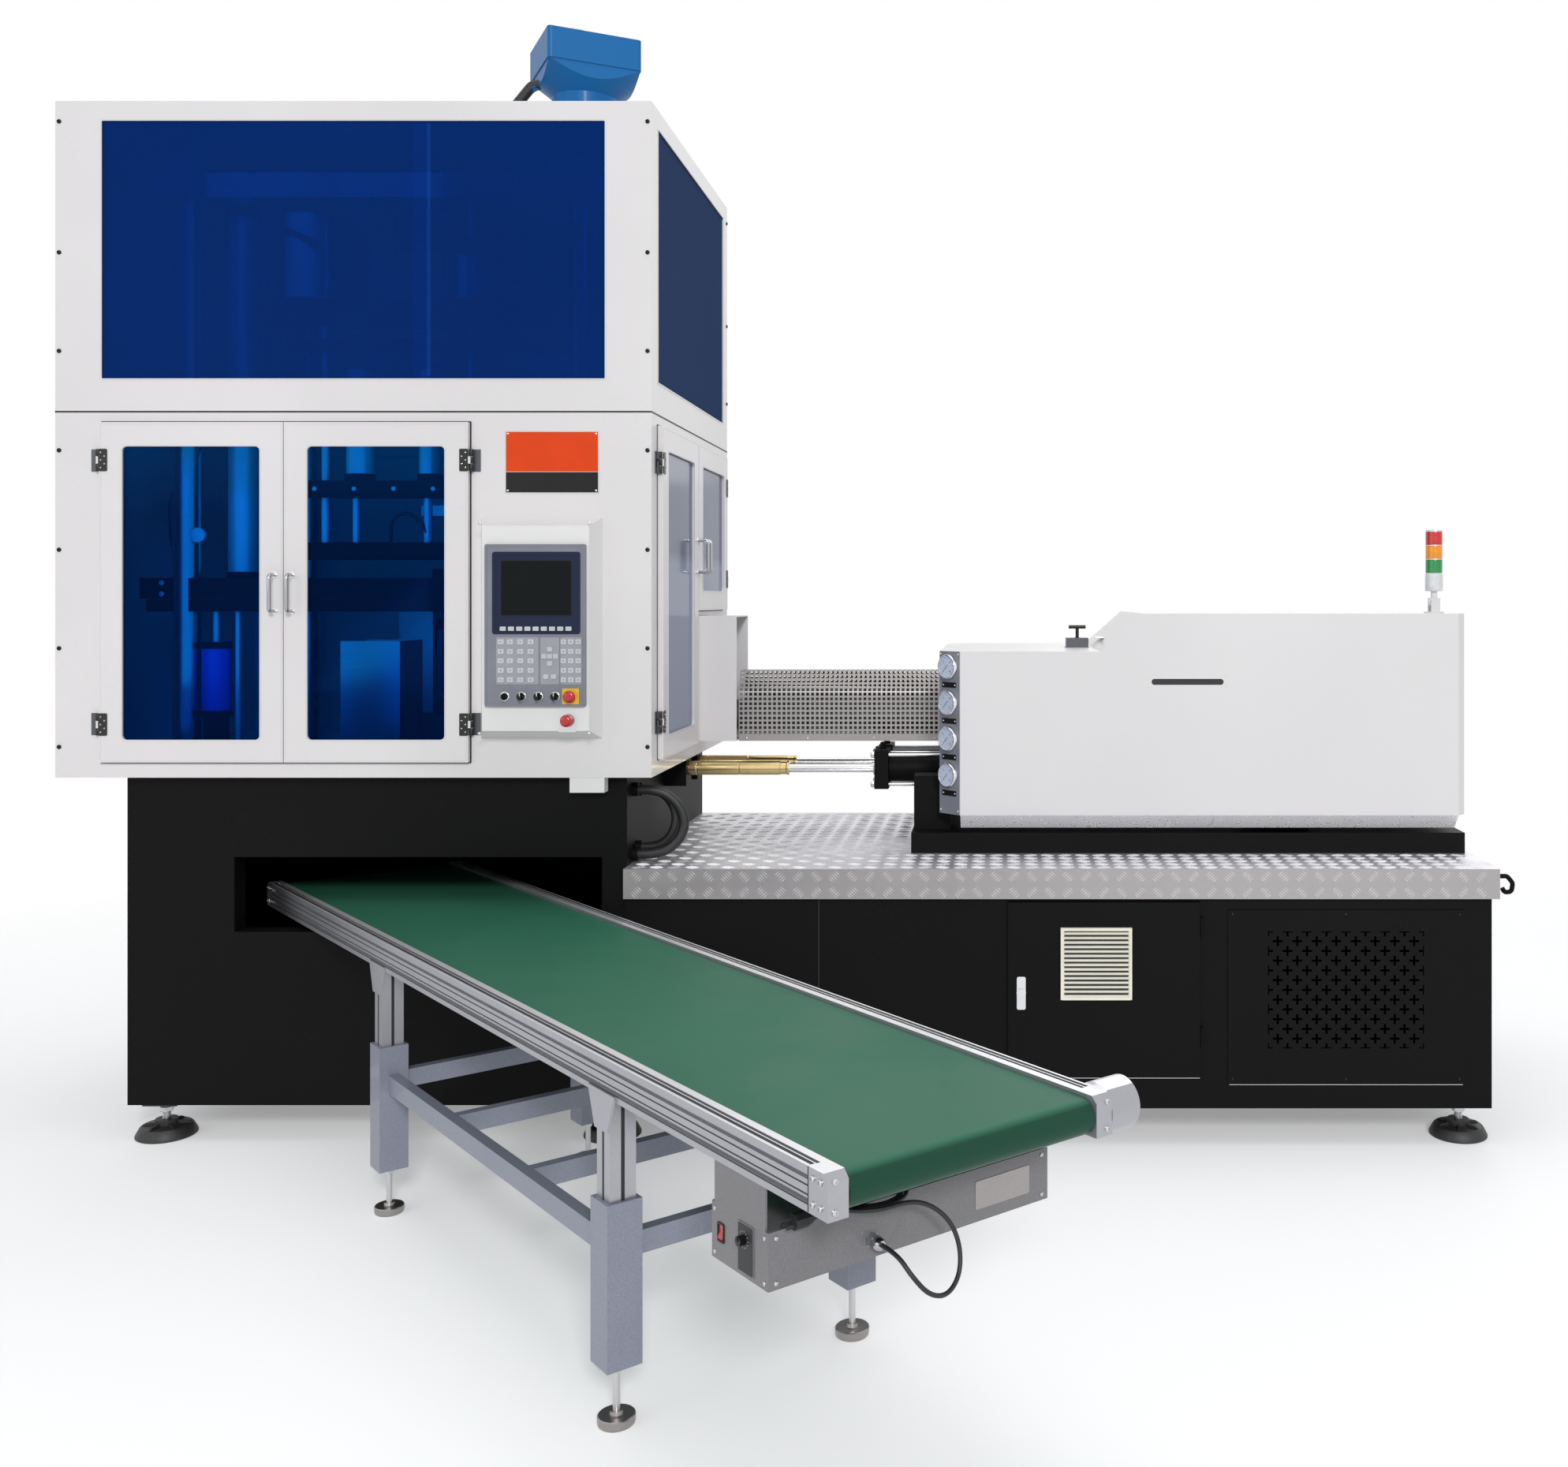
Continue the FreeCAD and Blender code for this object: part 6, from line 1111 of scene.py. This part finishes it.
def makeRow():
    # Slotted rails, cap screws, blank plates and switches of the conveyor.
    length, wide = row["length"], row["wide"]
    slots = {"x": (-0.4, 0.5, wide - 0.5, wide + 0.4), "z": (712, 728, 744), "half": 1.3,
             "end": 60}
    near, far, over, end = rowWay(0, -1), rowWay(-1, 0), rowWay(1, 0), slots["end"]
    shape = Shape()
    # Black strips painted as shade in the rails' side slots, in the groove on each rail's top
    # and in the legs' grooves; thin lines mark where the end caps meet the rails.
    for x0, x1 in (slots["x"][:2], slots["x"][2:]):
        for z in slots["z"]:
            shape.box(x0, x1, end + 2, length - end - 2, z - slots["half"],
                      z + slots["half"], 0, onRow)
    for across in (0, wide):
        for a in (end, length - end - 1.6):
            shape.box(across - 0.6, across + 0.6, a, a + 1.6, 699, 777, 0, onRow)
        middle = abs(across - 10)
        shape.box(middle - 4, middle + 4, end + 2, length - end - 2, 777.6, 778.3, 0, onRow)
    for across, along in row["legs"]:
        for a, b in ((4, 30.4), (30.4, 4)):
            shape.box(across - a, across + a, along - b, along + b, 442, 698, 0, onRow)
    shape.piece("rail_lines", "seal", "black_rubber", "conveyor")
    heads = (22, 46), (716, 760)
    spots = places(product([-0.2], *heads), far, 1.6, onRow)
    spots += places(product([wide + 0.2], *heads), over, 1.6, onRow)
    spots += places(product([-0.2], (length - 22, length - 46), heads[1]), far, 1.6, onRow)
    spots += places(product((14, 646), [-0.2], (712, 764)), near, 1.6, onRow)
    repeated("cap_screws", "small_head", spots, "steel", "conveyor")
    label = {"switch": (343, 367, 552, 588), "dial": (240, 290, 526, 612),
             "plate": (470, 610, 540, 596), "marks": 11, "centre": (270, 585), "radius": 15}
    shape = Shape()
    shape.ring(label["switch"], 3, 3.5, (-0.1, 2.4), 0, lambda a, v, b: onRow(-v, a, b))
    shape.plate(label["dial"], 3, (0, 0.9), 1, lambda a, v, b: onRow(-2 - v, a, b))
    shape.plate(label["plate"], 4, (0, 1.2), 3, lambda a, v, b: onRow(a, 190 - v, b))
    for k in range(label["marks"]):
        up, side = polar(-45 + 27 * k, label["radius"])
        y, z = label["centre"][0] - side, label["centre"][1] + up
        shape.box(-3.4, -2.8, y - 0.7, y + 0.7, z - 0.7, z + 0.7, 2, onRow)
    shape.piece("row_plates", "gloss ink paleInk perforated", "black_plastic", "conveyor",
                0.4)
    shape = Shape()
    shape.turn(onRow(222, 191, 550), near, [(0, 15), (4, 15), (4, 12.8), (15, 12.8)], 0, 6)
    shape.turn(onRow(222, 176, 550), near, [(0, 12.8), (2, 13), (16, 11.5), (20, 8),
                                            (20.3, 5)], 0, 32)
    shape.piece("cord_gland", "handle", "black_plastic", "conveyor")
    spots = places(product([-0.1], (202, 378), (528, 608)), far, 0.6, onRow)
    spots += places(product((16, 644), [189.9], (528, 608)), near, 0.6, onRow)
    repeated("row_box_screws", "button_head", spots, "steel", "conveyor")


def makeInside():
    # What shows through the tower's panes: beams, air cylinders, guide bars and hoses.
    inside = {
        # Rods and tubes: across, bottom, top, radius, material, segments.
        "bars": ((760, 1928, 3050, 12, 0, 28), (862, 1928, 2075, 11, 0, 28),
                 (1100, 1928, 2075, 14, 0, 28), (1246, 1928, 3050, 12, 0, 28),
                 (399, 1600, 1742, 10, 0, 28), (471, 1212, 1742, 9, 0, 28),
                 (700, 2731, 3010, 66), (860, 2731, 2960, 44, 1), (1250, 2731, 2900, 52)),
        # Air cylinders with a collar at both ends.
        "cylinders": ((876, 216, 2132, 2520, 44, 0), (1108, 216, 2132, 2520, 36, 0),
                      (399, 216, 1352, 1600, 44, 2), (430, 330, 1811, 3050, 46, 0)),
        "heads": ((700, 3010, 78), (860, 2960, 56), (1250, 2900, 64)),
        "beams": ((370, 428, 187, 245, 1212, 1352), (163, 1757, 182, 256, 1742, 1811),
                  (185, 1735, 182, 250, 1700, 1741), (700, 1300, 182, 252, 2076, 2132),
                  (700, 1300, 182, 252, 1871, 1928), (542, 1700, 182, 256, 2642, 2731),
                  (640, 1620, 190, 250, 2560, 2600)),
        # Hoses: radius, then the points of the path.
        "hoses": ((8, (352, 200, 2320), (300, 196, 2210), (258, 196, 2050),
                   (262, 200, 1930), (292, 206, 1822)),
                  (8, (386, 210, 2330), (322, 204, 2180), (286, 204, 2040),
                   (290, 206, 1920), (330, 212, 1822)),
                  (6, (980, 205, 1928), (985, 200, 2010), (1040, 198, 2030),
                   (1090, 205, 1990), (1104, 210, 1940)),
                  (9, (1000, 214, 3050), (990, 206, 2860), (930, 204, 2700),
                   (900, 208, 2560)),
                  (20, (720, 160, 3030), (1000, 160, 3020), (1250, 160, 2900),
                   (1480, 160, 2760)),
                  (16, (880, 160, 2980), (1060, 160, 2900), (1300, 160, 2880),
                   (1620, 160, 2960)),
                  (14, (600, 160, 2700), (560, 160, 2860), (640, 160, 2960),
                   (760, 160, 2900)))}
    shape = Shape()
    for x, y in product((300, 1620), (220, 1100)):
        shape.turn(at(x, y, 3130), upward, [(0, 62), (8, 62), (8, 52), (30, 52)], 0, 6)
    for x, low, high, *rest in inside["bars"]:
        shape.rod(at(x, 216, low), upward, high - low, *rest)
    for x, y, low, high, r, material in inside["cylinders"]:
        shape.rod(at(x, y, low), upward, high - low, r, material, 48)
        for z in (low, high - 22):
            shape.rod(at(x, y, z), upward, 22, r + 5, 1, 48)
    for x, z, r in inside["heads"]:
        shape.rod(at(x, 216, z), upward, 26, r, 1)
    for box in inside["beams"]:
        shape.box(*box, 1)
    for z in (1758, 1795):
        shape.turn(at(236, 182, z), front, [(-0.2, 9), (3, 9), (5, 6)], 0, 6)
    for x in range(740, 1300, 130):
        shape.turn(at(x, 182, 2104), front, [(-0.2, 8), (4, 8)], 0, 6)
    shape.piece("inner_frame", "bar black blueBar", "bright_steel", bevel=0.8)
    shape = Shape()
    for radius, *path in inside["hoses"]:
        shape.bar(path, 70, 6, radius, 0, 14)
    shape.turn(at(352, 196, 1952), front, [(0, 24), (12, 24), (12, 21)], 1, 32)
    shape.piece("inner_hoses", "hoseRubber bar", "black_rubber")
    shape = Shape()
    shape.bar([(1476, 740, 3775), (1476, 740, 3821), (1426, 740, 3821), (1426, 740, 3770)],
              20, 6, 14, 0, 20)
    shape.bar([(1366, 700, 3609), (1298, 700, 3609), (1208, 700, 3499), (1208, 700, 3322)],
              40, 6, 18.5, 1, 20)
    shape.piece("cylinder_bends", "chrome blackRubber", "chrome")


def makeStage():
    # Pale floor that fades out, white surroundings and soft lamps; lengths in metres.
    scene, wide, fade = bpy.context.scene, 60, (6.5, 3.6)
    data = bpy.data.meshes.new("floor")
    data.from_pydata([(-wide, -wide, 0), (wide, -wide, 0), (wide, wide, 0),
                      (-wide, wide, 0)], [], [(0, 1, 2, 3)])
    paint = Paint("floor_paint")
    away = paint.node("VectorMath", {"operation": "LENGTH"}, {0: paint.spot}, "Value")
    data.materials.append(paint.set(
        Base_Color=paint.mix(paint.noise(0.7, 4), (0.86,) * 3, (0.89,) * 3), Roughness=0.8,
        Alpha=paint.between(away, *fade), Emission_Color=(1, 1, 1),
        Emission_Strength=0.3))
    paint.material.surface_render_method = "BLENDED"
    linked("floor", data)
    # The camera, glass and gloss see plain white; what lights the object is dimmer.
    scene.world = bpy.data.worlds.new("studio")
    sky = Paint("studio", scene.world)
    camera, glass, gloss = (sky.node("LightPath", {}, {}, "Is %s Ray" % kind)
                            for kind in ("Camera", "Transmission", "Glossy"))
    seen = camera.do("MAXIMUM", camera.do("MAXIMUM", camera, glass), gloss)
    dim, plain = (sky.node("Background", {}, {"Color": colour, "Strength": strength})
                  for colour, strength in (((0.9, 0.95, 1), 0.42), ((1, 1, 1), 1.0)))
    both = sky.node("MixShader", {}, {0: seen, 1: dim, 2: plain})
    sky.feed(sky.tree.nodes["World Output"].inputs["Surface"], both)
    for name, where, aim, size, power in (
            ("key", (3.5, -14.0, 8.0), (0, 0, 1.3), 2.5, 1150),
            ("fill", (-9.0, -9.0, 5.0), (0, 0, 1.4), 6.0, 150),
            ("sky", (0, 0.5, 9.0), (0, 0, 0), 6.0, 170),
            ("rear", (3.0, 7.0, 5.0), (0, 0, 1.2), 5.0, 70),
            ("inner", (-1.55, 0.52, 1.9), (-1.45, 1.5, 1.8), 0.9, 1.7),
            ("upper", (-1.5, 0.52, 2.85), (-1.4, 1.5, 2.85), 0.8, 1.4)):
        data = bpy.data.lights.new(name, "AREA")
        data.energy, data.size = power, size
        lamp, way = linked(name, data), Vector(aim) - Vector(where)
        lamp.location = where
        lamp.rotation_euler = way.to_track_quat("-Z", "Y").to_euler()
    scene.view_settings.view_transform = "Standard"


makeCamera()
makeFinishes()
paintNodes()
print("finishes made")
makeCords()
print("cords made")
screwUnit("button_head", 7.0, 4.6)
screwUnit("small_head", 3.6, 2.6)
for make in (makeTower, makeDeck, makeGuard, makeDoors, makeControl, makeLamps, makeGauges,
             makeHood, makeFeet, makeCabinet, makeRow, makeInside):
    make()
    print(make.__name__, "done")
for made in units.values():
    bpy.data.objects.remove(made)
makeStage()
print("stage made")
